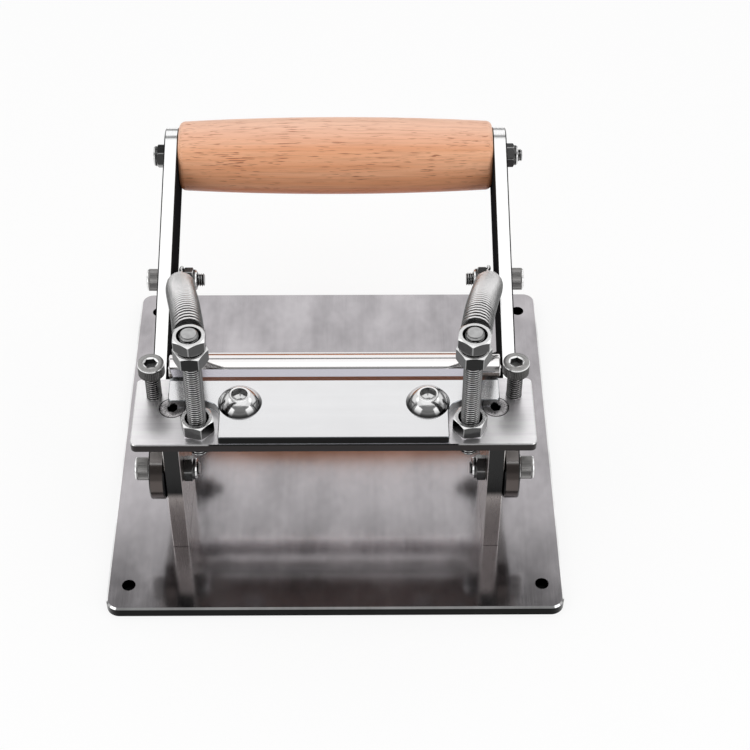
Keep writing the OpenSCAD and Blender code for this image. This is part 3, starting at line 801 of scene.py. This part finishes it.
@dataclass
class CapScrew:
    """A round socket head screw with a knurled side, along +Z with its head on top.

    Its crown is a row of steps, each so far in from the side and down from the top.
    """

    length: float
    thread: float = 6.0
    pitch: float = 1.0
    head: float = 10.0
    height: float = 6.0
    socket: float = 5.0
    ridges: int = 44
    foot: float = 0.35
    brow: float = 1.3
    knurl: float = 0.17
    sunk: float = 0.3

    crown = ((0.0, 0.7), (0.22, 0.25), (0.8, 0.0))
    tones = (Finishes.cap, Finishes.knurl, Finishes.socket, Finishes.bottom, Finishes.edge,
             *Thread.tones)
    dark_tones = (Finishes.dark_cap, Finishes.dark_knurl, *tones[2:5], *Thread.screw_tones)

    def knurled(self, height: float, depth: float, count: int) -> list[Point]:
        """Gives one ring of the knurled side."""
        return outline(lambda a: self.head / 2 - depth * abs(
            2 * (self.ridges * a / math.tau % 1.0) - 1), height, count)

    def shape(self) -> Shape:
        """Gives the screw.

        Returns:
            The screw, with its faces' tones.
        """
        count = self.ridges * 4
        top, r = self.height, self.head / 2
        rings = [ring(r - 0.5, 0.0, count), self.knurled(self.foot, 0.0, count),
                 self.knurled(self.foot + 0.01, self.knurl, count),
                 self.knurled(top - self.brow - 0.05, self.knurl, count),
                 self.knurled(top - self.brow, 0.0, count),
                 *(ring(r - into, top - down, count) for into, down in self.crown),
                 ring(self.socket * 0.66, top, count), hexagon(self.socket, top - 0.35, count),
                 hexagon(self.socket, top / 2, count),
                 ring(self.socket * 0.3, top / 2 - 0.1, count)]
        # Tone 1 is painted shade on the knurled side, tone 4 a painted highlight on the rims, and
        # tones 2 and 3 painted shade in the socket.
        rows = (1, 1, 1, 1, 1, 4, 0, 0, 4, 2, 3)
        made = Shape.from_rings(rings, lambda row, _: rows[row], 3)
        shank = Thread(self.thread, self.pitch, self.length + self.sunk)
        return made.add(shank.shape(), at(0, 0, -self.length), 5)


@dataclass
class DomedScrew:
    """A domed socket head screw with a flat ring on top, along +Z with its head on top."""

    length: float = 10.0
    thread: float = 10.0
    pitch: float = 1.5
    head: float = 18.8
    height: float = 5.2
    flat: float = 8.6
    socket: float = 6.0
    sunk: float = 0.3
    rows: int = 14
    count: int = 96

    tones = (Finishes.dome, Finishes.edge, Finishes.socket, Finishes.bottom, *Thread.tones)

    def shape(self) -> Shape:
        """Gives the screw.

        Returns:
            The screw, with its faces' tones.
        """
        low = (self.height ** 2 + (self.flat / 2) ** 2 - (self.head / 2) ** 2) / (2 * self.height)
        reach = math.hypot(self.head / 2, low)
        top, n = self.height, self.count
        rings = []
        for row in range(self.rows + 1):
            height = (top - 0.12) * row / self.rows
            rings.append(ring(math.sqrt(reach ** 2 - (height - low) ** 2), height, n))
        rings += [ring(self.flat / 2 - 0.2, top, n), ring(self.flat / 2 - 0.75, top, n),
                  ring(self.socket * 0.59, top - 0.3, n), hexagon(self.socket, top - 0.55, n),
                  hexagon(self.socket, top * 0.4, n), ring(self.socket * 0.25, top * 0.4 - 0.6, n)]
        # Tone 1 is a painted highlight on the flat ring, and tones 2 and 3 painted shade in the
        # socket.
        tones = (0,) * self.rows + (1, 1, 2, 2, 3, 0)
        made = Shape.from_rings(rings, lambda row, _: tones[row], 0)
        shank = Thread(self.thread, self.pitch, self.length + self.sunk, around=40)
        return made.add(shank.shape(), at(0, 0, -self.length), 4)


@dataclass
class SunkScrew:
    """A sunk socket head screw, along +Z with its flat top at the origin."""

    head: float
    length: float = 16.0
    thread: float = 5.0
    socket: float = 4.0
    groove: float = 0.36
    rim: float = 0.4
    count: int = 72

    tones = (Finishes.sunk, Finishes.black, Finishes.socket)

    def shape(self) -> Shape:
        """Gives the screw.

        Returns:
            The screw, with its faces' tones.
        """
        cone, n = (self.head - self.thread) / 2, self.count
        rings = [ring(self.thread / 2 - 0.5, -self.length, n),
                 ring(self.thread / 2, 0.5 - self.length, n),
                 ring(self.thread / 2, -self.rim - cone, n), ring(self.head / 2, -self.rim, n),
                 ring(self.head / 2, -self.groove, n), ring(self.head / 2 - self.groove, 0.0, n),
                 ring(self.socket * 0.64, 0.0, n), hexagon(self.socket, -0.2, n),
                 hexagon(self.socket, -cone, n)]
        # Tone 1 is painted shade on the head's rim and groove, and tone 2 painted shade in the
        # socket.
        rows = (0, 0, 0, 1, 1, 0, 0, 2)
        return Shape.from_rings(rings, lambda row, _: rows[row], 1)


@dataclass
class HexNut:
    """A hexagonal nut along +Z, with a round collar if it locks.

    Its tones are face, flank, corner and bore. The collar's crown is a row of steps, each so far
    in from its side and down from its end.
    """

    flats: float
    height: float
    bore: float
    sink: float = 0.8
    collar: float = 0.0
    count: int = 168

    face_share = 0.985
    corner_wear = 0.1
    collar_inset = 0.3
    crown = ((0.0, 0.8), (0.3, 0.2), (0.9, 0.0))
    mouth_width, mouth_depth = 0.5, 0.3
    slope = math.radians(30)
    # The flanks and bore carry painted shade, darker on the lower nut, and the corners a painted
    # highlight.
    tones = (Finishes.nut_top, Finishes.nut_flank, Finishes.corner, Finishes.black)
    low_tones = (Finishes.nut_top, Finishes.low_flank, Finishes.corner, Finishes.black)

    def bevelled(self, height: float, up: float) -> list[Point]:
        """Gives the hexagon where the bevel meets the flanks.

        Args:
            height: Height of the nearer end face.
            up: 1 for the lower end and -1 for the upper one.

        Returns:
            The ring of points, which dips at the corners.
        """
        face_r = self.flats / 2 * self.face_share
        most = self.flats / 2 / math.cos(self.slope) - self.corner_wear
        found = []
        for x, y, _ in hexagon(self.flats, 0.0, self.count):
            reach = math.hypot(x, y)
            kept = min(reach, most)
            drop = max(0.0, kept - face_r) * math.tan(self.slope)
            found.append((x * kept / reach, y * kept / reach, height + up * drop))
        return found

    def shape(self) -> Shape:
        """Gives the nut.

        Returns:
            The nut, with its faces' tones.
        """
        face_r, hole = self.flats / 2 * self.face_share, self.bore / 2
        end, top, n = self.height, self.height - self.collar, self.count
        rings = [ring(hole, self.sink, n), ring(hole + self.sink, 0.0, n), ring(face_r, 0.0, n),
                 self.bevelled(0.0, 1.0), self.bevelled(top, -1.0), ring(face_r, top, n)]
        rows = [3, 0, 0, 1, 0]
        if self.collar:
            r = self.flats / 2 - self.collar_inset
            rings += [ring(r, top, n),
                      *(ring(r - into, end - down, n) for into, down in self.crown),
                      ring(hole + self.mouth_width, end, n), ring(hole, end - self.mouth_depth, n)]
            rows += [3, 1, 0, 0, 1, 3, 3]
        else:
            rings += [ring(hole + self.sink, end, n), ring(hole, end - self.sink, n)]
            rows += [0, 3, 3]
        sixth = n // 6

        def tone(row: int, i: int) -> int:
            """Tells the corners, which carry a painted highlight, from the flanks."""
            return 2 if row == 3 and i % sixth in (0, sixth - 1) else rows[row]

        return Shape.from_rings(rings, tone, None)


def sweep(path: np.ndarray, diameter: float, around: int, outward: np.ndarray) -> Shape:
    """Carries a round section along a path. Its tones are open and shadowed wire.

    Args:
        path: The points of the path in millimetres.
        diameter: Diameter of the section.
        around: Points round the section.
        outward: For each point the way out of the coil, or zero outside the coil.

    Returns:
        The tube.
    """
    ahead = np.vstack([path[1] - path[0], path[2:] - path[:-2], path[-1] - path[-2]])
    ahead /= np.linalg.norm(ahead, axis=1)[:, None]
    side = np.cross(ahead[0], (0.3, 0.2, 1.0))
    angles = [math.tau * i / around for i in range(around)]
    half = math.pi / around
    rings, shadowed = [], []
    for point, direction, out in zip(path, ahead, outward):
        side = side - side.dot(direction) * direction
        side /= np.linalg.norm(side)
        over = np.cross(direction, side)
        rings.append([tuple(point + diameter / 2 * (math.cos(a) * side + math.sin(a) * over))
                      for a in angles])
        shadowed.append([bool(out.any()) and (math.cos(a + half) * side + math.sin(a + half) * over)
                         .dot(out) < 0.5 for a in angles])
    return Shape.from_rings(rings, lambda row, i: int(shadowed[row][i]), 0)


@dataclass
class EasedPlate:
    """A plate whose edges are eased, so that they catch the light. Angles are in degrees."""

    node: str
    body: Body
    slot: str
    finish: Finish
    ease: float = 0.3
    # The side whose faces get painted shade.
    dark_side: Side | None = None
    weld: float = 0.001
    flat_angle: float = 0.5
    sharp_angle: float = 30.0

    def build(self) -> None:
        """Copies the plate's mesh, joins its flat faces, bevels its edges and paints shade on a
        side.
        """
        source = frame["nodes"][self.node]
        work = bmesh.new()
        work.from_mesh(source.data)
        work.transform(source.matrix_world)
        bmesh.ops.remove_doubles(work, verts=work.verts, dist=self.weld * MM)
        bmesh.ops.dissolve_limit(work, angle_limit=math.radians(self.flat_angle),
                                 verts=work.verts, edges=work.edges)
        work.normal_update()
        least = math.radians(self.sharp_angle)
        sharp = [edge for edge in work.edges
                 if len(edge.link_faces) == 2 and edge.calc_face_angle() > least]
        bmesh.ops.bevel(work, geom=sharp, offset=self.ease * MM, segments=1, profile=0.5,
                        affect="EDGES", clamp_overlap=False)
        work.normal_update()
        for face in work.faces:
            # Faces on that side get the painted shade finish.
            dark = self.dark_side and face.normal.x * self.dark_side.value > 0.95
            face.material_index = 1 if dark else 0
        mesh = bpy.data.meshes.new(f"{self.node}_eased")
        work.to_mesh(mesh)
        work.free()
        for finish in (self.finish, Finishes.inner):
            mesh.materials.append(finish.material())
        place_mesh(mesh, self.node, self.body, self.slot, 20.0)


def dress(node: str, finish: Finish) -> None:
    """Gives a CAD node its finish.

    Args:
        node: The node's name.
        finish: The finish.
    """
    found = frame["nodes"][node]
    if not found.material_slots:
        found.data.materials.append(finish.material())
    for slot in found.material_slots:
        slot.material = finish.material()
    log.info("node %s: %s", node, finish.name)


def middle(node: str) -> Vector:
    """Gives the middle of a CAD node's box in millimetres."""
    low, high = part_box(node)
    return (low + high) / 2 / MM


@dataclass
class Stand:
    """The base plate, the uprights and the table with its sunk screws."""

    screw_head: float = 11.4
    screw_spins: Span = (-12.0, 12.0)

    def build(self) -> None:
        """Dresses the plates and makes the sunk screws."""
        dress("base_plate", Finishes.base)
        dress("base_screws", Finishes.sunk)
        for node in ("left_upright", "right_upright"):
            EasedPlate(node, Body.FRAME, "plate_steel", Finishes.upright).build()
        dress("table_plate", Finishes.table)
        spot, high = middle("table_screws"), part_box("table_screws")[1]
        reach = high.x / MM - self.screw_head / 2
        made = pair(SunkScrew(self.screw_head).shape(),
                    lambda side: at(side.value * reach, spot.y, high.z / MM), self.screw_spins)
        made.piece("table_screws_turned", "table_screws", Body.FRAME, "fastener_steel",
                   SunkScrew.tones)


@dataclass
class Cutter:
    """The blade, the clamp plate and its two domed screws."""

    head_d: float = 19.4
    screw_spins: Span = (30.0, 30.0)

    def build(self) -> None:
        """Dresses the blade, eases the clamp and makes the domed screws."""
        dress("blade", Finishes.blade)
        EasedPlate("clamp_plate", Body.FRAME, "polished_steel", Finishes.clamp).build()
        spot, high = middle("clamp_screws"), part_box("clamp_screws")[1]
        reach, seat = high.x / MM - self.head_d / 2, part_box("clamp_plate")[1].z / MM
        made = pair(DomedScrew().shape(), lambda side: at(side.value * reach, spot.y, seat),
                    self.screw_spins)
        made.piece("clamp_screws_turned", "clamp_screws", Body.FRAME, "polished_steel",
                   DomedScrew.tones)


@dataclass
class SpringPosts:
    """The two threaded studs with their nuts."""

    diameter: float = 8.0
    pitch: float = 1.25
    bevel: float = 0.9
    flats: float = 13.0
    sink: float = 1.1
    reach: float = 57.5
    along: float = -58.0
    turns: dict[str, Span] = field(default_factory=lambda: {
        "stud_lock_nuts": (-14, 6), "spring_lower_nuts": (0, 0), "spring_upper_nuts": (30, 21)})

    def build(self) -> None:
        """Cuts the threads and makes the nuts."""
        for side in Side:
            name = f"{side.name.lower()}_stud"
            spot, (low, high) = middle(name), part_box(name)
            thread = Thread(self.diameter, self.pitch, (high.z - low.z) / MM, self.bevel)
            made = Shape().add(thread.shape(), at(spot.x, spot.y, low.z / MM))
            made.piece(f"{name}_thread", name, Body.FRAME, "fastener_steel", Thread.stud_tones)
        for node, turns in self.turns.items():
            low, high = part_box(node)
            nut = HexNut(self.flats, (high.z - low.z) / MM, self.diameter + 0.1, self.sink)
            made = pair(nut.shape(), lambda side, level=low.z / MM: at(
                side.value * self.reach, self.along, level), turns)
            # The lower nuts get the darker painted shade on their flanks.
            tones = HexNut.low_tones if node == "spring_lower_nuts" else HexNut.tones
            made.piece(f"{node}_cut", node, Body.FRAME, "fastener_steel", tones, 20.0)


@dataclass
class Adjusters:
    """The two screws that stop the arms."""

    screw: CapScrew = field(default_factory=lambda: CapScrew(21.5, 6.7, 1.25, 11.4))
    spins: Span = (8.0, 20.0)

    def build(self) -> None:
        """Makes the screws with their knurled heads."""
        for side, spin in zip(Side, self.spins):
            name = f"{side.name.lower()}_adjusting_screw"
            spot, high = middle(name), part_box(name)[1]
            place = at(spot.x, spot.y, high.z / MM - self.screw.height)
            turn = Matrix.Rotation(math.radians(spin), 4, "Z")
            Shape().add(self.screw.shape(), place @ turn).piece(
                f"{name}_turned", name, Body[f"{side.name}_ADJUSTER"], "dark_steel",
                CapScrew.dark_tones)


@dataclass
class LockNuts:
    """A pair of lock nuts that lie along X, their faces at a distance from the middle."""

    node: str
    body: Body
    slot: str
    face: float
    outward: bool
    turns: Span
    nut: HexNut = field(default_factory=lambda: HexNut(10.0, 6.0, 6.1, 0.4, 1.8, 132))

    def build(self) -> None:
        """Makes the nuts as one piece."""
        spot = middle(self.node)
        made = pair(self.nut.shape(), lambda side: pointing(side, self.face, spot, self.outward),
                    self.turns)
        made.piece(f"{self.node}_cut", self.node, self.body, self.slot, HexNut.tones, 20.0)


@dataclass
class CrossScrews:
    """A pair of screws that point inward through the arms, with their lock nuts."""

    screws: str
    nuts: str
    body: Body
    length: float
    spin: float
    nut_turns: Span = (0.0, 0.0)

    def build(self) -> None:
        """Makes the screws as one piece and the nuts as another."""
        spot, screw = middle(self.screws), CapScrew(self.length)
        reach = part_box(self.screws)[1].x / MM - screw.height
        made = pair(screw.shape(), lambda side: pointing(side, reach, spot, True),
                    (self.spin, self.spin))
        made.piece(f"{self.screws}_turned", self.screws, self.body, "fastener_steel",
                   CapScrew.tones)
        LockNuts(self.nuts, self.body, "dark_steel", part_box(self.nuts)[1].x / MM, False,
                 self.nut_turns).build()


@dataclass
class Lever:
    """The two arms with their pivots, the roller and the wooden handle."""

    rod: float = 6.0
    pitch: float = 1.0
    arm_outer: float = 79.6
    arm_ease: float = 0.55

    def build(self) -> None:
        """Eases the arms, dresses the handle and the roller, and makes the screws and nuts."""
        for node, inner in (("left_arm", Side.RIGHT), ("right_arm", Side.LEFT)):
            EasedPlate(node, Body.LEVER, "plate_steel", Finishes.arm, self.arm_ease, inner).build()
        CrossScrews("pivot_screws", "pivot_nuts", Body.FRAME, 22.0, 14.0).build()
        CrossScrews("spring_bolts", "spring_nuts", Body.LEVER, 20.0, 8.0, (10.0, 25.0)).build()
        dress("pivot_washers", Finishes.washer)
        LockNuts("handle_nuts", Body.LEVER, "fastener_steel", self.arm_outer, True,
                 (20.0, 12.0)).build()
        spot, (low, high) = middle("handle_tie_rod"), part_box("handle_tie_rod")
        thread = Thread(self.rod, self.pitch, (high.x - low.x) / MM, around=20, steps=6)
        place = at(low.x / MM, spot.y, spot.z) @ Matrix.Rotation(math.radians(90), 4, "Y")
        Shape().add(thread.shape(), place).piece(
            "tie_rod_thread", "handle_tie_rod", Body.LEVER, "fastener_steel", Thread.tones)
        dress("handle_grip", Finishes.wood)
        dress("roller", Finishes.roller)


@dataclass
class TensionSpring:
    """A wound spring from the stud to the spring bolt."""

    outer: float = 13.2
    wire: float = 1.4
    curls: float = 34.25
    start_fall: float = 10.0
    end_fall: float = 36.0
    stud: Point = (57.5, -58.0, 123.3)
    stud_d: float = 8.0
    nut_corner: float = 6.5 / math.cos(math.radians(30))
    curl_gap: float = 0.9
    bolt: Point = (69.7, 31.8276, 77.6027)
    bolt_d: float = 6.0
    seat: float = 0.3
    arm_w: float = 26.5
    above: float = 7.4
    lean: float = 20.0
    per_curl: int = 18
    around: int = 12
    loop_turn: float = 285.0
    loop_points: int = 36
    bend_share: float = 0.35
    lead: float = 1.8
    hook_share: float = 0.7
    still: float = 8.0
    rise: float = 6.0

    tones = (Finishes.wire, Finishes.wire_side)

    @staticmethod
    def curve(handles: Sequence[np.ndarray], t: float) -> np.ndarray:
        """Gives a point on a cubic curve.

        Args:
            handles: The curve's ends, with its two handles between them.
            t: The share of the way from 0 to 1.

        Returns:
            The point.
        """
        a, b, c, d = handles
        u = 1 - t
        return u ** 3 * a + 3 * t * u * u * b + 3 * t * t * u * c + t ** 3 * d

    @staticmethod
    def heading(handles: Sequence[np.ndarray], t: float) -> np.ndarray:
        """Gives the direction of a cubic curve.

        Args:
            handles: The curve's ends, with its two handles between them.
            t: The share of the way from 0 to 1.

        Returns:
            The direction, one long.
        """
        a, b, c, d = handles
        u = 1 - t
        found = u * u * (b - a) + 2 * t * u * (c - b) + t * t * (d - c)
        return found / np.linalg.norm(found)

    def path(self) -> tuple[np.ndarray, np.ndarray]:
        """Gives the middle line of the right spring's wire.

        Returns:
            The points, and for each of them the way out of the coil, or zero outside the coil.
        """
        coil = (self.outer - self.wire) / 2
        inside = coil - self.wire / 2
        stud, bolt = np.array(self.stud), np.array(self.bolt)
        fall, begin = math.radians(self.end_fall), math.radians(self.start_fall)
        hook = np.array((0, math.cos(fall), -math.sin(fall)))
        front = stud + np.array((0, inside - self.stud_d / 2 - self.seat, 0))
        rear = bolt - (inside - self.bolt_d / 2 - self.seat) * hook
        drift = (bolt[0] - stud[0]) / (bolt[1] - stud[1])
        level = np.array((drift, 1, 0)) / math.hypot(drift, 1)
        out = np.array((drift, math.cos(begin), -math.sin(begin)))
        out /= np.linalg.norm(out)
        down = hook + np.array((drift / 2, 0, 0))
        down /= np.linalg.norm(down)
        reach = (self.arm_w / 2 + self.above) / math.sin(fall + math.radians(self.lean))
        first = stud + (self.nut_corner + self.curl_gap + self.wire / 2) * level
        last = bolt - reach * down
        bend = self.bend_share * np.linalg.norm(last - first)
        axis = [first, first + bend * out, last - bend * down, last]

        def outward(turn: float) -> np.ndarray:
            """Gives the way out of the coil.

            Args:
                turn: How many curls have gone before.

            Returns:
                The direction, one long.
            """
            ahead = self.heading(axis, turn / self.curls)
            side = np.cross((0, 0, 1), ahead)
            side /= np.linalg.norm(side)
            over = np.cross(ahead, side)
            return over * math.sin(math.tau * turn) - side * math.cos(math.tau * turn)

        turns = np.linspace(0, self.curls, int(self.curls * self.per_curl))
        ways = [outward(t) for t in turns]
        body = [self.curve(axis, t / self.curls) + coil * way for t, way in zip(turns, ways)]
        first_way, last_way = body[1] - body[0], body[-1] - body[-2]
        first_way /= np.linalg.norm(first_way)
        last_way /= np.linalg.norm(last_way)
        up = np.cross((1, 0, 0), hook)
        loop = np.radians(np.linspace(0, self.loop_turn, self.loop_points))
        front_loop = [front + coil * np.array((math.cos(a), -math.sin(a), 0)) for a in loop]
        rear_loop = [rear + coil * (math.cos(a) * up + math.sin(a) * hook) for a in loop]
        corner = stud[1] + math.sqrt(self.nut_corner ** 2 - inside ** 2)
        run = front_loop[0] + np.array((0, corner - front[1], 0))
        bridge = [run, run + np.array((0, self.lead, 0)), body[0] - self.lead * first_way,
                  body[0]]
        over_hook = [body[-1], body[-1] + self.lead * last_way,
                     rear_loop[0] - self.hook_share * reach * hook, rear_loop[0]]
        before = front_loop[::-1] + [self.curve(bridge, t) for t in np.linspace(0, 1, 9)[:-1]]
        after = [self.curve(over_hook, t) for t in np.linspace(0, 1, 25)[1:]] + rear_loop[1:]
        bare = np.zeros(3)
        ways = [bare] * self.per_curl + ways[self.per_curl:]
        return (np.array(before + body + after),
                np.array([bare] * len(before) + ways + [bare] * len(after)))

    def build(self) -> None:
        """Makes both springs between the frame and the lever, as fixed meshes on no body."""
        path, ways = self.path()
        for side in Side:
            mirror = np.array((side.value, 1, 1))
            name = f"{side.name.lower()}_spring"
            shape = sweep(path * mirror, self.wire, self.around, ways * mirror)
            made = shape.piece(f"{name}_wound", name, Body.FRAME, "spring_steel", self.tones, 80.0)
            made.parent = None
            del made["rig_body"]
            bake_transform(made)


@dataclass
class SoftBox:
    """One soft lamp over the object."""

    name: str
    spot: Point
    width: float
    depth: float
    power: float
    target: Point = (0.0, 0.0, 0.05)

    def build(self) -> None:
        """Hangs the lamp, turned to its target. Its places and sizes are in metres."""
        data = bpy.data.lights.new(self.name, "AREA")
        data.shape = "RECTANGLE"
        data.size, data.size_y = self.width, self.depth
        data.energy = self.power
        made = bpy.data.objects.new(self.name, data)
        made.location = self.spot
        way = Vector(self.target) - Vector(self.spot)
        made.rotation_euler = way.to_track_quat("-Z", "Y").to_euler()
        bpy.context.scene.collection.objects.link(made)


@dataclass
class Studio:
    """The camera, the floor and the soft light."""

    eye: Point = (12.4, -581.2, 640.1)
    focal_px: float = 1820.5
    image_px: float = 750.0
    pitch: float = 45.55
    yaw: float = -0.54
    roll: float = 0.19
    sensor: float = 36.0
    footprint: float = 98.5
    floor_half: float = 6.0
    floor_drop: float = 0.0002
    floor_colour: Colour = grey(0.82)
    # Painted shade on the floor under the base, seen through its holes.
    under_colour: Colour = grey(0.01)
    floor_white: float = 0.8
    white_strength: float = 1.05
    lamps: tuple[SoftBox, ...] = (
        SoftBox("top soft box", (0.0, 0.0, 1.0), 2.2, 1.0, 5.6),
        SoftBox("left front soft box", (-0.8, -0.62, 0.5), 0.65, 0.65, 1.7),
        SoftBox("right front soft box", (0.8, -0.62, 0.5), 0.65, 0.65, 1.7))

    behind_span = (-0.05, 0.2)
    wall_foot, wall_top, crown_span = (0.2, 0.32), (0.781, 0.765), (0.85, 0.92)
    back_light, wall_light, crown_light = 0.2, 0.85, 0.1
    front_low, front_high = (0.35, 0.5), (0.8, 0.88)
    front_light, front_loss, front_gain = 0.5, 0.25, 0.2

    def camera(self) -> None:
        """Sets the camera at the photograph's place."""
        p, w, l = (math.radians(a) for a in (self.pitch, self.yaw, self.roll))
        turn = Matrix.Rotation(w, 3, "Z")
        ahead = turn @ Vector((0, math.cos(p), -math.sin(p)))
        up = turn @ Vector((0, math.sin(p), math.cos(p)))
        right = turn @ Vector((1, 0, 0))
        across = math.cos(l) * right + math.sin(l) * up
        above = -math.sin(l) * right + math.cos(l) * up
        data = bpy.data.cameras.new("photograph view")
        data.sensor_width = self.sensor
        data.lens = self.focal_px * self.sensor / self.image_px
        data.clip_start, data.clip_end = 0.01, 50.0
        made = bpy.data.objects.new("photograph view", data)
        bpy.context.scene.collection.objects.link(made)
        basis = Matrix((across, above, -ahead)).transposed().to_4x4()
        made.matrix_world = Matrix.Translation(Vector(self.eye) * MM) @ basis
        bpy.context.scene.camera = made

    def floor(self) -> None:
        """Lays the pale floor, which shows white, keeps the shadow and has painted shade under the
        base.
        """
        mesh = bpy.data.meshes.new("floor")
        h, z = self.floor_half, -self.floor_drop
        mesh.from_pydata([(-h, -h, z), (h, -h, z), (h, h, z), (-h, h, z)], [], [(0, 1, 2, 3)])
        made = bpy.data.objects.new("floor", mesh)
        bpy.context.scene.collection.objects.link(made)
        material = bpy.data.materials.new("pale floor")
        graph = Graph(material)
        x, y, _ = graph.parts(graph.place())
        # The mask of the painted shade under the base.
        edge = self.footprint
        under = graph.step(abs(x), edge, edge - 1) * graph.step(abs(y), edge, edge - 1)
        path = graph.node("ShaderNodeLightPath").outputs
        seen = graph.maths("MAXIMUM", Value(graph, path["Is Camera Ray"]),
                           graph.maths("MAXIMUM", Value(graph, path["Is Glossy Ray"]),
                                       Value(graph, path["Is Transmission Ray"])))
        matt = graph.node("ShaderNodeBsdfDiffuse", None, {
            "Color": graph.mix(under, self.floor_colour, self.under_colour)})
        white = graph.node("ShaderNodeEmission", None, {
            "Color": grey(1.0), "Strength": self.white_strength})
        both = graph.node("ShaderNodeMixShader", None, {
            0: seen * self.floor_white * (1 - under), 1: matt.outputs[0], 2: white.outputs[0]})
        graph.node("ShaderNodeOutputMaterial", None, {"Surface": both.outputs[0]})
        mesh.materials.append(material)

    def world(self) -> None:
        """Makes the room: a bright wall behind the object, and a mild front.

        The spans are pairs of ends for Graph.step, in parts of a direction's length.
        """
        world = bpy.data.worlds.new("studio room")
        bpy.context.scene.world = world
        graph = Graph(world)
        _, y, z = graph.parts(graph.node("ShaderNodeTexCoord").outputs["Generated"])
        behind = graph.step(y, *self.behind_span)
        wall = graph.step(z, *self.wall_top) * graph.step(z, *self.wall_foot)
        crown = graph.step(z, *self.crown_span)
        back = self.back_light + self.wall_light * wall + self.crown_light * crown
        front = self.front_light - self.front_loss * graph.step(z, *self.front_low) \
            + self.front_gain * graph.step(z, *self.front_high)
        room = behind * back + (1 - behind) * front
        seen = Value(graph, graph.node("ShaderNodeLightPath").outputs["Is Camera Ray"])
        light = graph.node("ShaderNodeBackground", None, {
            "Color": grey(1.0), "Strength": seen + (1 - seen) * room})
        graph.node("ShaderNodeOutputWorld", None, {"Surface": light.outputs[0]})

    def build(self) -> None:
        """Sets the whole studio."""
        self.camera()
        self.floor()
        self.world()
        for lamp in self.lamps:
            lamp.build()
        bpy.context.scene.view_settings.view_transform = "Standard"
        log.info("studio set")


def main() -> None:
    """Builds and dresses the splitter and its studio."""
    logging.basicConfig(level=logging.INFO, format="%(name)s: %(message)s")
    Studio().build()
    for part in (Stand(), Cutter(), SpringPosts(), Adjusters(), Lever(), TensionSpring()):
        part.build()


if __name__ == "__main__":
    main()
